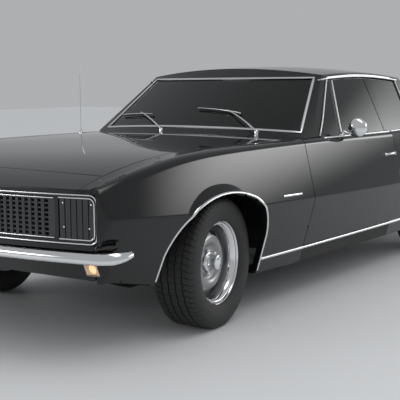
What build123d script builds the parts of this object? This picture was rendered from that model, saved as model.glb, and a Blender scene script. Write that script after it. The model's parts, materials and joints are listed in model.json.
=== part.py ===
from build123d import *
from math import cos, radians, sin, sqrt
import os

# Two-door hardtop muscle car, built as separate bodies, panels, glass and running gear.
# Frame: +Z up, the nose points to -Y, the driver's side is +X, and the ground is z = 0
# under the middle of the car. All values are in millimetres.

os.makedirs("parts", exist_ok=True)

# ---------------------------------------------------------------- driving dimensions
WHEELBASE = 2743.0
LENGTH = 4691.0
FRONT_AXLE = -1413.0
REAR_AXLE = FRONT_AXLE + WHEELBASE
HALF_TRACK = 748.0
NOSE = -LENGTH / 2

TYRE_R = 325.5
TYRE_W = 225.0
RIM_R = 190.5
RIM_W = 178.0
BORE_R = 16.0
DISH = 24.0
CAP_TIP = 88.0

PANEL_GAP = 5.0
FIT = 0.3
SHEET = 25.0
DOOR_T = 90.0
QUARTER_T = 40.0
ROOF_T = 40.0
GLASS_T = 6.0

DOOR_FRONT = -594.5
DOOR_REAR = 520.5
DOOR_LEAN = 7.0
SILL_TOP = 292.0

HOOD_HALF = 716.0
HOOD_REAR = -596.0
HOOD_NOSE = -2150.0
HOOD_NOSE_SIDE = -2095.0
LID_HALF = 600.0
LID_FRONT = 1600.0
LID_REAR = 2190.0

WALL_Y = 1100.0
STEER_REST = 7.9
KINGPIN = 690.0
STUB = 60.0

# Outer form of the body, one section each: y, bottom z, sill x, crease x and z,
# shoulder x and z, ridge x and z, and z on the centre line.
SECTIONS = (
    (-2400.0, 385.0, 690.0, 806.0, 646.0, 778.0, 690.0, 735.0, 712.0, 728.0),
    (-2100.0, 340.0, 742.0, 872.0, 629.0, 832.0, 782.0, 780.0, 797.0, 830.0),
    (-1700.0, 262.0, 775.0, 912.0, 604.0, 852.0, 850.0, 786.0, 864.0, 874.0),
    (-1250.0, 214.0, 800.0, 921.0, 586.0, 852.0, 870.0, 784.0, 880.0, 893.0),
    (-600.0, 204.0, 818.0, 921.0, 568.0, 850.0, 872.0, 788.0, 882.0, 906.0),
    (100.0, 200.0, 820.0, 921.0, 552.0, 852.0, 868.0, 800.0, 882.0, 902.0),
    (800.0, 200.0, 815.0, 921.0, 545.0, 862.0, 868.0, 806.0, 886.0, 904.0),
    (1350.0, 226.0, 800.0, 918.0, 552.0, 872.0, 898.0, 800.0, 922.0, 932.0),
    (1900.0, 280.0, 765.0, 884.0, 566.0, 838.0, 886.0, 766.0, 908.0, 920.0),
    (2400.0, 340.0, 700.0, 806.0, 570.0, 762.0, 836.0, 694.0, 862.0, 880.0),
)

# Greenhouse, one section each: y, side x at the belt, rail x and z, centre z.
HOUSE = (
    (-700.0, 836.0, 660.0, 1216.0, 1262.0),
    (-100.0, 828.0, 646.0, 1236.0, 1284.0),
    (350.0, 826.0, 642.0, 1254.0, 1302.0),
    (850.0, 832.0, 640.0, 1238.0, 1286.0),
    (1750.0, 858.0, 636.0, 1150.0, 1198.0),
)
HOUSE_FOOT = 862.0


def on_y(y):
    """Sketch plane across the car at y, drawn in x and z."""
    return Plane.XZ.offset(-y)


def body_form(inset=0.0):
    """Whole lower body as one loft, every wall moved in by inset."""
    with BuildPart() as form:
        for y, floor, sill, crease, crease_z, shoulder, shoulder_z, ridge, ridge_z, top in SECTIONS:
            half = (
                (sill - inset, floor + inset),
                (crease - inset, crease_z),
                (shoulder - inset, shoulder_z - 0.5 * inset),
                (ridge - 0.6 * inset, ridge_z - inset),
            )
            far = [(-x, z) for x, z in reversed(half)]
            bulge = 0.14 * (shoulder - ridge)
            mid = ((half[2][0] + half[3][0]) / 2 + bulge, (half[2][1] + half[3][1]) / 2 + bulge)
            with BuildSketch(on_y(y)):
                with BuildLine():
                    Line(far[3], half[0])
                    Line(half[0], half[1])
                    Line(half[1], half[2])
                    Polyline(half[2], mid, half[3])
                    ThreePointArc(half[3], (0, top - inset), far[0])
                    Polyline(far[0], (-mid[0], mid[1]), far[1])
                    Line(far[1], far[2])
                    Line(far[2], far[3])
                make_face()
        loft()
    return form.part


def house_form(inset=0.0):
    """Glass and roof tunnel above the belt, without its sloping ends."""
    with BuildPart() as form:
        for y, foot, rail, rail_z, top in HOUSE:
            lean = (foot - rail) / (rail_z - HOUSE_FOOT)
            out = inset * sqrt(1 + lean * lean)
            with BuildSketch(on_y(y)):
                with BuildLine():
                    Line((-foot + out, HOUSE_FOOT), (foot - out, HOUSE_FOOT))
                    Line((foot - out, HOUSE_FOOT), (rail - out + lean * inset, rail_z - inset))
                    ThreePointArc(
                        (rail - out + lean * inset, rail_z - inset),
                        (0, top - inset),
                        (-rail + out - lean * inset, rail_z - inset),
                    )
                    Line((-rail + out - lean * inset, rail_z - inset), (-foot + out, HOUSE_FOOT))
                make_face()
        loft()
    return form.part


def raked(foot_y, foot_z, head_y, head_z, radius, inset=0.0):
    """Big cylinder whose nearest straight line is a glass centre line."""
    run, rise = head_y - foot_y, head_z - foot_z
    span = sqrt(run * run + rise * rise)
    side = 1.0 if run > 0 else -1.0
    normal = (0.0, -side * rise / span, side * run / span)
    middle = ((foot_y + head_y) / 2, (foot_z + head_z) / 2)
    centre = (0.0, middle[0] - normal[1] * radius, middle[1] - normal[2] * radius)
    return Plane(origin=centre, x_dir=(1, 0, 0), z_dir=(0, run / span, rise / span)) * Cylinder(
        radius - inset, 6000.0
    )


def box(x0, x1, y0, y1, z0, z1):
    """Box between two corners."""
    solid = Box(x1 - x0, y1 - y0, z1 - z0, mode=Mode.PRIVATE)
    return Pos((x0 + x1) / 2, (y0 + y1) / 2, (z0 + z1) / 2) * solid


def boxes(rows):
    """Boxes from rows of x0, x1, y0, y1, z0, z1, each joined to the last."""
    solid = box(*rows[0])
    for row in rows[1:]:
        solid = solid + box(*row)
    return solid


def both(rows):
    """The same rows on both sides of the car."""
    return [row for x0, x1, *rest in rows for row in ((x0, x1, *rest), (-x1, -x0, *rest))]


def plan_prism(points, z0, z1):
    """Plan outline given in x and y, from z0 to z1."""
    return extrude(Plane.XY.offset(z0) * make_face(Polyline(*points, close=True)), z1 - z0)


def mirrored(shape):
    """The same piece on the car's other side."""
    return mirror(shape, about=Plane.YZ, mode=Mode.PRIVATE)


def nose_outline(back=0.0, inset=0.0):
    """Plan face of the car between its curved nose and tail."""
    nose, corner, side = -2334.0 + back + inset, -2238.0 + back + inset, -2120.0 + back
    tail, tail_corner, tail_side = 2304.0 - inset, 2262.0 - inset, 2150.0
    with BuildSketch(Plane.XY) as plan:
        with BuildLine():
            front = ThreePointArc((-806, corner), (0, nose), (806, corner))
            ThreePointArc(front @ 1, (852 - inset, corner + 38), (882 - inset, side))
            Line((882 - inset, side), (1000, side))
            Line((1000, side), (1000, tail_side))
            Line((1000, tail_side), (868 - inset, tail_side))
            ThreePointArc((868 - inset, tail_side), (838 - inset, tail_corner - 24), (770, tail_corner))
            ThreePointArc((770, tail_corner), (0, tail), (-770, tail_corner))
            ThreePointArc((-770, tail_corner), (-838 + inset, tail_corner - 24), (-868 + inset, tail_side))
            Line((-868 + inset, tail_side), (-1000, tail_side))
            Line((-1000, tail_side), (-1000, side))
            Line((-1000, side), (-882 + inset, side))
            ThreePointArc((-882 + inset, side), (-852 + inset, corner + 38), front @ 0)
        make_face()
    return plan.sketch


def block(outline, z0, z1):
    """Upright block of a plan outline."""
    return extrude(Plane.XY.offset(z0) * outline, z1 - z0, mode=Mode.PRIVATE)


def arch_block(axle_y, half, crown, x0, x1):
    """Wheel opening as a block across the car: three arcs on straight feet."""
    hub = 335.0
    knee = crown - 0.145 * (crown - hub)
    with BuildSketch(Plane.YZ.offset(x0)) as face:
        with BuildLine():
            Line((axle_y - half, 100), (axle_y - half, hub))
            ThreePointArc(
                (axle_y - half, hub),
                (axle_y - 0.9 * half, hub + 0.56 * (crown - hub)),
                (axle_y - 0.64 * half, knee),
            )
            ThreePointArc((axle_y - 0.64 * half, knee), (axle_y, crown), (axle_y + 0.64 * half, knee))
            ThreePointArc(
                (axle_y + 0.64 * half, knee),
                (axle_y + 0.9 * half, hub + 0.56 * (crown - hub)),
                (axle_y + half, hub),
            )
            Line((axle_y + half, hub), (axle_y + half, 100))
            Line((axle_y + half, 100), (axle_y - half, 100))
        make_face()
    return extrude(face.sketch, x1 - x0)


# ---------------------------------------------------------------- body forms
LOW_BACK = 110.0
SHELF = 505.0

full = body_form()
ends = block(nose_outline(), SHELF, 1400) + block(nose_outline(back=LOW_BACK), 100, SHELF)
outer = full & ends
thin = body_form(SHEET)
thin_ends = block(nose_outline(inset=SHEET), SHELF + SHEET, 1400) + block(
    nose_outline(back=LOW_BACK, inset=SHEET), 100, SHELF + SHEET
)
front_skin = outer - (thin & thin_ends)
quarter_skin = outer - (body_form(QUARTER_T) & block(nose_outline(inset=SHEET), 100, 1400))
door_skin = outer - body_form(DOOR_T)
under_ends = block(nose_outline(inset=SHEET + FIT), SHELF + SHEET, 1400) + block(
    nose_outline(back=LOW_BACK, inset=SHEET + FIT), 100, SHELF + SHEET
)
under_front = body_form(SHEET + FIT) & under_ends
under_rear = body_form(QUARTER_T + FIT)

front_arch = arch_block(FRONT_AXLE - 10, 392, 674, -1000, 1000)
rear_arch = arch_block(REAR_AXLE, 374, 660, -1000, 1000)
MOUTH_TOP = 747.0
mouth = box(-806, 806, -2400, -2150, SHELF + 21, MOUTH_TOP)

# ---------------------------------------------------------------- fenders and nose
hood_plan = make_face(
    [
        Line((-HOOD_HALF, HOOD_REAR), (-HOOD_HALF, HOOD_NOSE_SIDE)),
        ThreePointArc((-HOOD_HALF, HOOD_NOSE_SIDE), (0, HOOD_NOSE), (HOOD_HALF, HOOD_NOSE_SIDE)),
        Line((HOOD_HALF, HOOD_NOSE_SIDE), (HOOD_HALF, HOOD_REAR)),
        Line((HOOD_HALF, HOOD_REAR), (-HOOD_HALF, HOOD_REAR)),
    ]
)
header_back = make_face(
    [
        Line((-HOOD_HALF, -2400), (HOOD_HALF, -2400)),
        Line((HOOD_HALF, -2400), (HOOD_HALF, HOOD_NOSE_SIDE - PANEL_GAP)),
        ThreePointArc(
            (HOOD_HALF, HOOD_NOSE_SIDE - PANEL_GAP),
            (0, HOOD_NOSE - PANEL_GAP),
            (-HOOD_HALF, HOOD_NOSE_SIDE - PANEL_GAP),
        ),
        Line((-HOOD_HALF, HOOD_NOSE_SIDE - PANEL_GAP), (-HOOD_HALF, -2400)),
    ]
)

FENDER_IN = HOOD_HALF + PANEL_GAP
FENDER_REAR = DOOR_FRONT - PANEL_GAP
with BuildPart() as front_fenders:
    add(front_skin)
    add(box(FENDER_IN, 1000, -2400, FENDER_REAR, 100, 1000), mode=Mode.INTERSECT)
    add([front_arch, mouth], mode=Mode.SUBTRACT)
    mirror(about=Plane.YZ)
front_fenders.part.label = "front_fenders"
export_step(front_fenders.part, "parts/front_fenders.step")

header_block = block(header_back, MOUTH_TOP, 1000)
with BuildPart() as header_panel:
    add(front_skin)
    add(header_block, mode=Mode.INTERSECT)
header_panel.part.label = "header_panel"
export_step(header_panel.part, "parts/header_panel.step")
BRACKET = (330.0, 400.0, 445.0, 478.0)
bracket_slots = boxes(
    both([(BRACKET[0] - 5, BRACKET[1] + 5, -2400, -2150, BRACKET[2] - 5, BRACKET[3] + 5)])
)
with BuildPart() as front_valance:
    add(front_skin)
    add(box(FIT - FENDER_IN, FENDER_IN - FIT, -2400, -2150, 200, SHELF + 30), mode=Mode.INTERSECT)
    add([mouth, bracket_slots], mode=Mode.SUBTRACT)
front_valance.part.label = "front_valance"
export_step(front_valance.part, "parts/front_valance.step")

hood_block = block(hood_plan, 700, 1000)
with BuildPart() as hood:
    add(front_skin)
    add(hood_block, mode=Mode.INTERSECT)
hood.part.label = "hood"
export_step(hood.part, "parts/hood.step")

# ---------------------------------------------------------------- doors and quarters
door_plan = [
    (700, DOOR_FRONT),
    (1000, DOOR_FRONT),
    (1000, DOOR_REAR + 1),
    (921, DOOR_REAR),
    (831, DOOR_REAR - DOOR_LEAN),
    (700, DOOR_REAR - DOOR_LEAN),
]
PILLAR_X = 807.0
PILLAR_Y = -365.0
hinge_leaves = [
    box(850, 884, FENDER_REAR + FIT, DOOR_FRONT + 3, 400, 450),
    box(842, 872, FENDER_REAR + FIT, DOOR_FRONT + 3, 700, 750),
]
door_block = plan_prism(door_plan, SILL_TOP + PANEL_GAP, 1000)
with BuildPart() as door_left:
    add(door_skin)
    add(door_block, mode=Mode.INTERSECT)
    add(box(600, 745, -700, 700, 700, 1000), mode=Mode.SUBTRACT)
    add(box(600, PILLAR_X + PANEL_GAP, -700, PILLAR_Y + PANEL_GAP, 600, 1000), mode=Mode.SUBTRACT)
    add(hinge_leaves)
door_left.part.label = "door_left"
export_step(door_left.part, "parts/door_left.step")

with BuildPart() as door_right:
    add(mirrored(door_left.part))
door_right.part.label = "door_right"
export_step(door_right.part, "parts/door_right.step")

QUARTER_FRONT = DOOR_REAR + PANEL_GAP
quarter_plan = [
    (745, QUARTER_FRONT),
    (1000, QUARTER_FRONT),
    (1000, 2400),
    (785, 2400),
    (785, LID_REAR + PANEL_GAP),
    (LID_HALF + PANEL_GAP, LID_REAR + PANEL_GAP),
    (LID_HALF + PANEL_GAP, WALL_Y),
    (745, WALL_Y),
]
quarter_block = plan_prism(quarter_plan, 100, 1000)
with BuildPart() as quarter_panels:
    add(quarter_skin)
    add(quarter_block, mode=Mode.INTERSECT)
    add(rear_arch, mode=Mode.SUBTRACT)
    mirror(about=Plane.YZ)
quarter_panels.part.label = "quarter_panels"
export_step(quarter_panels.part, "parts/quarter_panels.step")

with BuildPart() as trunk_lid:
    add(quarter_skin)
    add(box(-LID_HALF, LID_HALF, LID_FRONT, LID_REAR, 700, 1000), mode=Mode.INTERSECT)
trunk_lid.part.label = "trunk_lid"
export_step(trunk_lid.part, "parts/trunk_lid.step")

PLATE_Z = 400.0
PLATE_PITCH = 178.0
PLATE_HOLE_R = 3.5
with BuildPart() as tail_panel:
    add(quarter_skin & box(-780, 780, LID_REAR + PANEL_GAP, 2400, 200, 1000))
    with BuildSketch(on_y(2400)):
        with Locations((-PLATE_PITCH / 2, PLATE_Z), (PLATE_PITCH / 2, PLATE_Z)):
            Circle(PLATE_HOLE_R)
    extrude(amount=200, mode=Mode.SUBTRACT)
tail_panel.part.label = "tail_panel"
export_step(tail_panel.part, "parts/tail_panel.step")

cowl_plan = [
    (-PILLAR_X, HOOD_REAR + PANEL_GAP),
    (PILLAR_X, HOOD_REAR + PANEL_GAP),
    (PILLAR_X, PILLAR_Y),
    (745, PILLAR_Y),
    (745, -450),
    (-745, -450),
    (-745, PILLAR_Y),
    (-PILLAR_X, PILLAR_Y),
]
cowl_block = plan_prism(cowl_plan, 700, 1000)
with BuildPart() as cowl_panel:
    add(front_skin)
    add(cowl_block, mode=Mode.INTERSECT)
cowl_panel.part.label = "cowl_panel"
export_step(cowl_panel.part, "parts/cowl_panel.step")

# ---------------------------------------------------------------- roof and glass
SCREEN = (-530.0, 938.0, -100.0, 1265.0, 3600.0)
BACKLIGHT = (1530.0, 925.0, 1075.0, 1262.0, 6000.0)
GLASS_IN = 4.0
GLASS_LAP = 0.4
SWING_LAP = 5.0
GLASS_SPLIT = 500.0

SCREEN_HOLE = ((-735, 916), (0, 938), (735, 916), (610, 1226), (-610, 1226))
BACK_HOLE = ((-612, 962), (0, 950), (612, 962), (556, 1212), (-556, 1212))
SIDE_HOLE = (
    (-372, 840), (-348, 884), (8, 1224), (180, 1233), (350, 1239),
    (600, 1236), (850, 1222), (972, 1206), (920, 890), (912, 840),
)


def house_block(inset=0.0):
    """Greenhouse block between the two raked screens."""
    return house_form(inset) & raked(*SCREEN, inset=inset) & raked(*BACKLIGHT, inset=inset)


def side_hole(lap=0.0, y0=-900.0, y1=1200.0):
    """Side window opening drawn in by lap, between two heights of y."""
    face = offset(make_face(Polyline(*SIDE_HOLE, close=True)), -lap) if lap else make_face(
        Polyline(*SIDE_HOLE, close=True)
    )
    return extrude(Plane.YZ.offset(500) * face, 500) & box(400, 1100, y0, y1, 700, 1400)


def end_hole(outline, lap, y0, y1):
    """Front or rear window opening drawn in by lap."""
    face = make_face([ThreePointArc(*outline[:3]), Polyline(outline[2], outline[3], outline[4], outline[0])])
    if lap:
        face = offset(face, -lap)
    return extrude(Plane.XZ.offset(-y1) * face, y1 - y0)


house = house_block() - house_block(ROOF_T) - outer
holes = [
    end_hole(SCREEN_HOLE, 0, -700, -45),
    end_hole(BACK_HOLE, 0, 1090, 1800),
    side_hole(),
    mirrored(side_hole()),
    box(PILLAR_X - 3, 1000, -700, -300, 800, 892),
    box(-1000, 3 - PILLAR_X, -700, -300, 800, 892),
]
with BuildPart() as roof:
    add(house)
    add(holes, mode=Mode.SUBTRACT)
roof.part.label = "roof"
export_step(roof.part, "parts/roof.step")

screen_pane = (
    (raked(*SCREEN, inset=GLASS_IN) - raked(*SCREEN, inset=GLASS_IN + GLASS_T))
    & end_hole(SCREEN_HOLE, GLASS_LAP, -700, -45)
) - outer
with BuildPart() as windshield:
    add(screen_pane)
windshield.part.label = "windshield"
export_step(windshield.part, "parts/windshield.step")

back_pane = (
    (raked(*BACKLIGHT, inset=GLASS_IN) - raked(*BACKLIGHT, inset=GLASS_IN + GLASS_T))
    & end_hole(BACK_HOLE, GLASS_LAP, 1090, 1800)
) - outer
with BuildPart() as rear_window:
    add(back_pane)
rear_window.part.label = "rear_window"
export_step(rear_window.part, "parts/rear_window.step")

side_glass = house_form(GLASS_IN) - house_form(GLASS_IN + GLASS_T) - outer
door_pane = side_glass & side_hole(SWING_LAP, y1=GLASS_SPLIT - 4)
quarter_pane = side_glass & side_hole(GLASS_LAP, y0=GLASS_SPLIT + 4)

with BuildPart() as door_glass_left:
    add(door_pane)
door_glass_left.part.label = "door_glass_left"
export_step(door_glass_left.part, "parts/door_glass_left.step")

with BuildPart() as door_glass_right:
    add(mirrored(door_pane))
door_glass_right.part.label = "door_glass_right"
export_step(door_glass_right.part, "parts/door_glass_right.step")

with BuildPart() as quarter_glass:
    add(quarter_pane)
    add(mirrored(quarter_pane))
quarter_glass.part.label = "quarter_glass"
export_step(quarter_glass.part, "parts/quarter_glass.step")

# ---------------------------------------------------------------- inner body
WALL = 15.0
FLOOR_Z = 250.0
FLOOR_TOP = FLOOR_Z + 20.0
TUNNEL = 150.0
TUNNEL_Z = 490.0
BOOT_Z = 480.0
BOOT_TOP = BOOT_Z + 20.0
FIREWALL_Y = -605.0
BULKHEAD_Y = 1060.0
HOUSE_X = 600.0
HOUSE_TOP = 725.0

front_inner = boxes(
    [(-722, 722, FIREWALL_Y, FIREWALL_Y + 20, FLOOR_Z, 1000)]
    + both([(600, 1000, -660, FENDER_REAR, SILL_TOP, 880)])
) & under_front
middle = boxes(
    [
        (-710, 710, FIREWALL_Y, BULKHEAD_Y, FLOOR_Z, FLOOR_TOP),
    ]
    + both([(700, 725, QUARTER_FRONT, 640, FLOOR_Z, 870)])
)
rear_inner = boxes(
    [
        (-HOUSE_X, HOUSE_X, BULKHEAD_Y + 20, 2400, BOOT_Z, BOOT_TOP),
        (-1000, 1000, 1705, 2400, BOOT_Z, BOOT_TOP),
    ]
    + both(
        [
            (HOUSE_X, HOUSE_X + WALL, 960, 1720, BOOT_Z - 20, HOUSE_TOP),
            (HOUSE_X, HOUSE_X + WALL, 960, BULKHEAD_Y + 20, FLOOR_Z, HOUSE_TOP),
            (HOUSE_X, 1000, 960, 1720, HOUSE_TOP - WALL, HOUSE_TOP),
            (HOUSE_X, 1000, 960, 960 + WALL, FLOOR_Z, HOUSE_TOP),
            (HOUSE_X, 1000, 1705, 1720, BOOT_Z, HOUSE_TOP),
            (380, 420, 2100, 2140, BOOT_Z, 1000),
        ]
    )
) & under_rear & block(nose_outline(inset=SHEET + FIT), 100, 1400)
deck = front_skin & box(-HOUSE_X - 4, HOUSE_X + 4, BULKHEAD_Y, LID_FRONT - PANEL_GAP, 700, 1100)
rocker = outer & boxes(both([(700, 1000, DOOR_FRONT, DOOR_REAR, 150, SILL_TOP)]))

front_wall = front_inner - box(-TUNNEL - WALL, TUNNEL + WALL, -700, -500, 200, TUNNEL_Z + WALL)
with BuildPart() as floor_pan:
    add(middle)
    add(box(-TUNNEL - WALL, TUNNEL + WALL, -700, BULKHEAD_Y + 30, 200, 600), mode=Mode.SUBTRACT)
    add(boxes(both([(HOUSE_X, 800, 960, 1100, 200, 300)])), mode=Mode.SUBTRACT)
    add(rocker)
floor_pan.part.label = "floor_pan"
export_step(floor_pan.part, "parts/floor_pan.step")

with BuildPart() as firewall:
    add(front_wall)
    add(box(-722, 722, FIREWALL_Y, FIREWALL_Y + 20, FLOOR_Z, FLOOR_TOP), mode=Mode.SUBTRACT)
    add(boxes(both([(700, 722, FIREWALL_Y, FIREWALL_Y + 20, FLOOR_Z, SILL_TOP)])), mode=Mode.SUBTRACT)
firewall.part.label = "firewall"
export_step(firewall.part, "parts/firewall.step")

with BuildPart() as tunnel:
    add(box(-TUNNEL - WALL, TUNNEL + WALL, FIREWALL_Y, BULKHEAD_Y, FLOOR_Z, TUNNEL_Z + WALL))
    add(box(-TUNNEL, TUNNEL, -700, BULKHEAD_Y + 30, 200, TUNNEL_Z), mode=Mode.SUBTRACT)
tunnel.part.label = "tunnel"
export_step(tunnel.part, "parts/tunnel.step")

with BuildPart() as bulkhead:
    add(box(-HOUSE_X, HOUSE_X, BULKHEAD_Y, BULKHEAD_Y + 20, FLOOR_Z, 1000))
    add(box(-TUNNEL - WALL, TUNNEL + WALL, 1000, 1100, 200, TUNNEL_Z + WALL), mode=Mode.SUBTRACT)
    add(under_rear, mode=Mode.INTERSECT)
    add(deck, mode=Mode.SUBTRACT)
bulkhead.part.label = "bulkhead"
export_step(bulkhead.part, "parts/bulkhead.step")

with BuildPart() as rear_floor:
    add(rear_inner)
    add(deck)
rear_floor.part.label = "rear_floor"
export_step(rear_floor.part, "parts/rear_floor.step")

APRON_X = 430.0
SUPPORT_Y = -2120.0
apron_rows = [
    (-1000, 1000, SUPPORT_Y, SUPPORT_Y + WALL, 300, 1000),
    *both(
        [
            (APRON_X, APRON_X + WALL, SUPPORT_Y, -660.3, 300, 715),
            (APRON_X, 1000, SUPPORT_Y, -660.3, 700, 715),
        ]
    ),
]
with BuildPart() as front_aprons:
    add(boxes(apron_rows) & under_front)
    add(box(-320, 320, -2200, -2050, 330, 720), mode=Mode.SUBTRACT)
    add(boxes(both([(300, 600, -1480, -1346, 200, 520)])), mode=Mode.SUBTRACT)
    add(boxes(both([(560, 1000, -2200, -2050, 200, 500)])), mode=Mode.SUBTRACT)
front_aprons.part.label = "front_aprons"
export_step(front_aprons.part, "parts/front_aprons.step")

# ---------------------------------------------------------------- running gear
RAIL_Z = 175.0
CROSS_Z = 250.0
UPRIGHT_LOW = 213.0
UPRIGHT_HIGH = 440.0
WHEEL_Z = TYRE_R

with BuildPart() as front_subframe:
    add(
        boxes(
            [(-445, 445, FRONT_AXLE - 60, FRONT_AXLE + 60, RAIL_Z, CROSS_Z)]
            + both(
                [
                    (330, 400, SUPPORT_Y - 40, -380, RAIL_Z, 235),
                    (350, 380, -430, -400, 234, FLOOR_Z - FIT),
                    (350, 380, SUPPORT_Y - 30, SUPPORT_Y + WALL, 234, 300 - FIT),
                    (400, 445, FRONT_AXLE - 40, FRONT_AXLE + 40, CROSS_Z - 1, UPRIGHT_HIGH + 45),
                    (400, 640, FRONT_AXLE - 60, FRONT_AXLE + 60, UPRIGHT_LOW - 23, UPRIGHT_LOW - FIT),
                    (600, 716, FRONT_AXLE - 28, FRONT_AXLE + 28, UPRIGHT_LOW - 23, UPRIGHT_LOW - FIT),
                    (430, 640, FRONT_AXLE - 40, FRONT_AXLE + 40, UPRIGHT_HIGH + FIT, UPRIGHT_HIGH + 20),
                    (600, 716, FRONT_AXLE - 25, FRONT_AXLE + 25, UPRIGHT_HIGH + FIT, UPRIGHT_HIGH + 20),
                ]
            )
        )
    )
front_subframe.part.label = "front_subframe"
export_step(front_subframe.part, "parts/front_subframe.step")

SPINDLE_R = BORE_R - 0.05
SPINDLE_SHORT = 2.0
with BuildPart() as upright:
    with Locations((0, 0, UPRIGHT_LOW)):
        Cylinder(22, UPRIGHT_HIGH - UPRIGHT_LOW, align=(Align.CENTER, Align.CENTER, Align.MIN))
    with BuildSketch(Plane.YZ.offset(STUB - 40)):
        with Locations((0, WHEEL_Z)):
            Circle(105)
    extrude(amount=8)
    with BuildSketch(Plane.YZ):
        with Locations((0, WHEEL_Z)):
            Circle(20)
    extrude(amount=STUB - 14)
    with BuildSketch(Plane.YZ):
        with Locations((0, WHEEL_Z)):
            Circle(SPINDLE_R)
    extrude(amount=STUB + DISH - SPINDLE_SHORT)

steer = Rot(0, 0, STEER_REST)
with BuildPart() as knuckle_left:
    add(Pos(KINGPIN, FRONT_AXLE, 0) * steer * upright.part)
knuckle_left.part.label = "knuckle_left"
export_step(knuckle_left.part, "parts/knuckle_left.step")

with BuildPart() as knuckle_right:
    add(Pos(-KINGPIN, FRONT_AXLE, 0) * steer * mirrored(upright.part))
knuckle_right.part.label = "knuckle_right"
export_step(knuckle_right.part, "parts/knuckle_right.step")

with BuildPart() as rear_axle:
    with BuildSketch(Plane.YZ):
        with Locations((REAR_AXLE, WHEEL_Z)):
            Circle(40)
    extrude(amount=HALF_TRACK - 40, both=True)
    with BuildSketch(Plane.YZ):
        with Locations((REAR_AXLE, WHEEL_Z)):
            Circle(105)
    extrude(amount=HALF_TRACK - 32, both=True)
    with BuildSketch(Plane.YZ):
        with Locations((REAR_AXLE, WHEEL_Z)):
            Circle(200)
    extrude(amount=HALF_TRACK - 40, both=True, mode=Mode.SUBTRACT)
    with BuildSketch(Plane.YZ):
        with Locations((REAR_AXLE, WHEEL_Z)):
            Circle(40)
    extrude(amount=HALF_TRACK - 39, both=True)
    with BuildSketch(Plane.YZ):
        with Locations((REAR_AXLE, WHEEL_Z)):
            Circle(SPINDLE_R)
    extrude(amount=HALF_TRACK + DISH - SPINDLE_SHORT, both=True)
    with BuildSketch(on_y(-329.7)):
        with Locations((0, 350)):
            Circle(36)
    extrude(amount=-(REAR_AXLE + 329.7))
    with BuildSketch(on_y(REAR_AXLE - 110)):
        with Locations((0, WHEEL_Z)):
            RegularPolygon(125, 8)
    extrude(amount=-210)
    add(
        boxes(
            both(
                [
                    (480, 540, 760, 1900, 222, 240),
                    (480, 540, REAR_AXLE - 50, REAR_AXLE + 50, 222, WHEEL_Z - 20),
                    (480, 540, 760, 800, 222, FLOOR_Z - FIT),
                    (490, 530, 1880, 1900, 222, BOOT_Z - FIT),
                ]
            )
        )
    )
rear_axle.part.label = "rear_axle"
export_step(rear_axle.part, "parts/rear_axle.step")

with BuildPart() as engine:
    add(
        boxes(
            [
                (-270, 270, -1680, -960, CROSS_Z + FIT, 780),
                (-115, 115, -1000, -330, 280, 460),
            ]
        )
    )
engine.part.label = "engine"
export_step(engine.part, "parts/engine.step")

PIPE_R = 25.0
with BuildPart() as exhaust:
    for x in (-225, 225):
        with BuildSketch(on_y(-1000)):
            with Locations((x, FLOOR_Z - FIT - PIPE_R)):
                Circle(PIPE_R)
        extrude(amount=-3230)
        with Locations((x, 1720, FLOOR_Z - FIT - PIPE_R)):
            Box(150, 420, 70)
exhaust.part.label = "exhaust"
export_step(exhaust.part, "parts/exhaust.step")

with BuildPart() as fuel_tank:
    add(box(-400, 400, 1680, 2150, 300, BOOT_Z - FIT))
    fillet(fuel_tank.edges().filter_by(Axis.Z), 60)
fuel_tank.part.label = "fuel_tank"
export_step(fuel_tank.part, "parts/fuel_tank.step")

# ---------------------------------------------------------------- wheels
RIM_HALF = RIM_W / 2
FLANGE_R = RIM_R + 14
BARREL_R = RIM_R - 10
with BuildPart() as rim:
    with BuildSketch(Plane.XZ):
        with BuildLine():
            Polyline(
                (-RIM_HALF, FLANGE_R), (-RIM_HALF, BARREL_R), (DISH - 12, BARREL_R),
                (DISH - 12, BORE_R), (DISH, BORE_R), (DISH, BARREL_R),
                (RIM_HALF, BARREL_R), (RIM_HALF, FLANGE_R), close=True,
            )
        make_face()
    revolve(axis=Axis.X)
    with BuildSketch(Plane.XZ):
        with BuildLine():
            Polyline((DISH - FIT, 0), (DISH - FIT, 36), (CAP_TIP, 30), (CAP_TIP, 0), close=True)
        make_face()
    revolve(axis=Axis.X)

TYRE_HALF = TYRE_W / 2
TREAD_HALF = TYRE_HALF - 12
BEAD_R = FLANGE_R + FIT
SHOULDER_R = TYRE_R - 12
with BuildPart() as tyre:
    with BuildSketch(Plane.XZ):
        with BuildLine():
            Polyline(
                (-TYRE_HALF, BEAD_R), (TYRE_HALF, BEAD_R), (TYRE_HALF, SHOULDER_R),
                (TREAD_HALF, TYRE_R), (-TREAD_HALF, TYRE_R), (-TYRE_HALF, SHOULDER_R), close=True,
            )
        make_face()
    revolve(axis=Axis.X)

spots = {
    "front_left": Pos(KINGPIN, FRONT_AXLE, WHEEL_Z) * steer * Pos(STUB, 0, 0),
    "front_right": Pos(-KINGPIN, FRONT_AXLE, WHEEL_Z) * steer * Pos(-STUB, 0, 0) * Rot(0, 0, 180),
    "rear_left": Pos(HALF_TRACK, REAR_AXLE, WHEEL_Z),
    "rear_right": Pos(-HALF_TRACK, REAR_AXLE, WHEEL_Z) * Rot(0, 0, 180),
}
for place, spot in spots.items():
    for kind, piece in (("wheel_", rim.part), ("tyre_", tyre.part)):
        placed = spot * piece
        placed.label = kind + place
        export_step(placed, "parts/" + kind + place + ".step")

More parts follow.
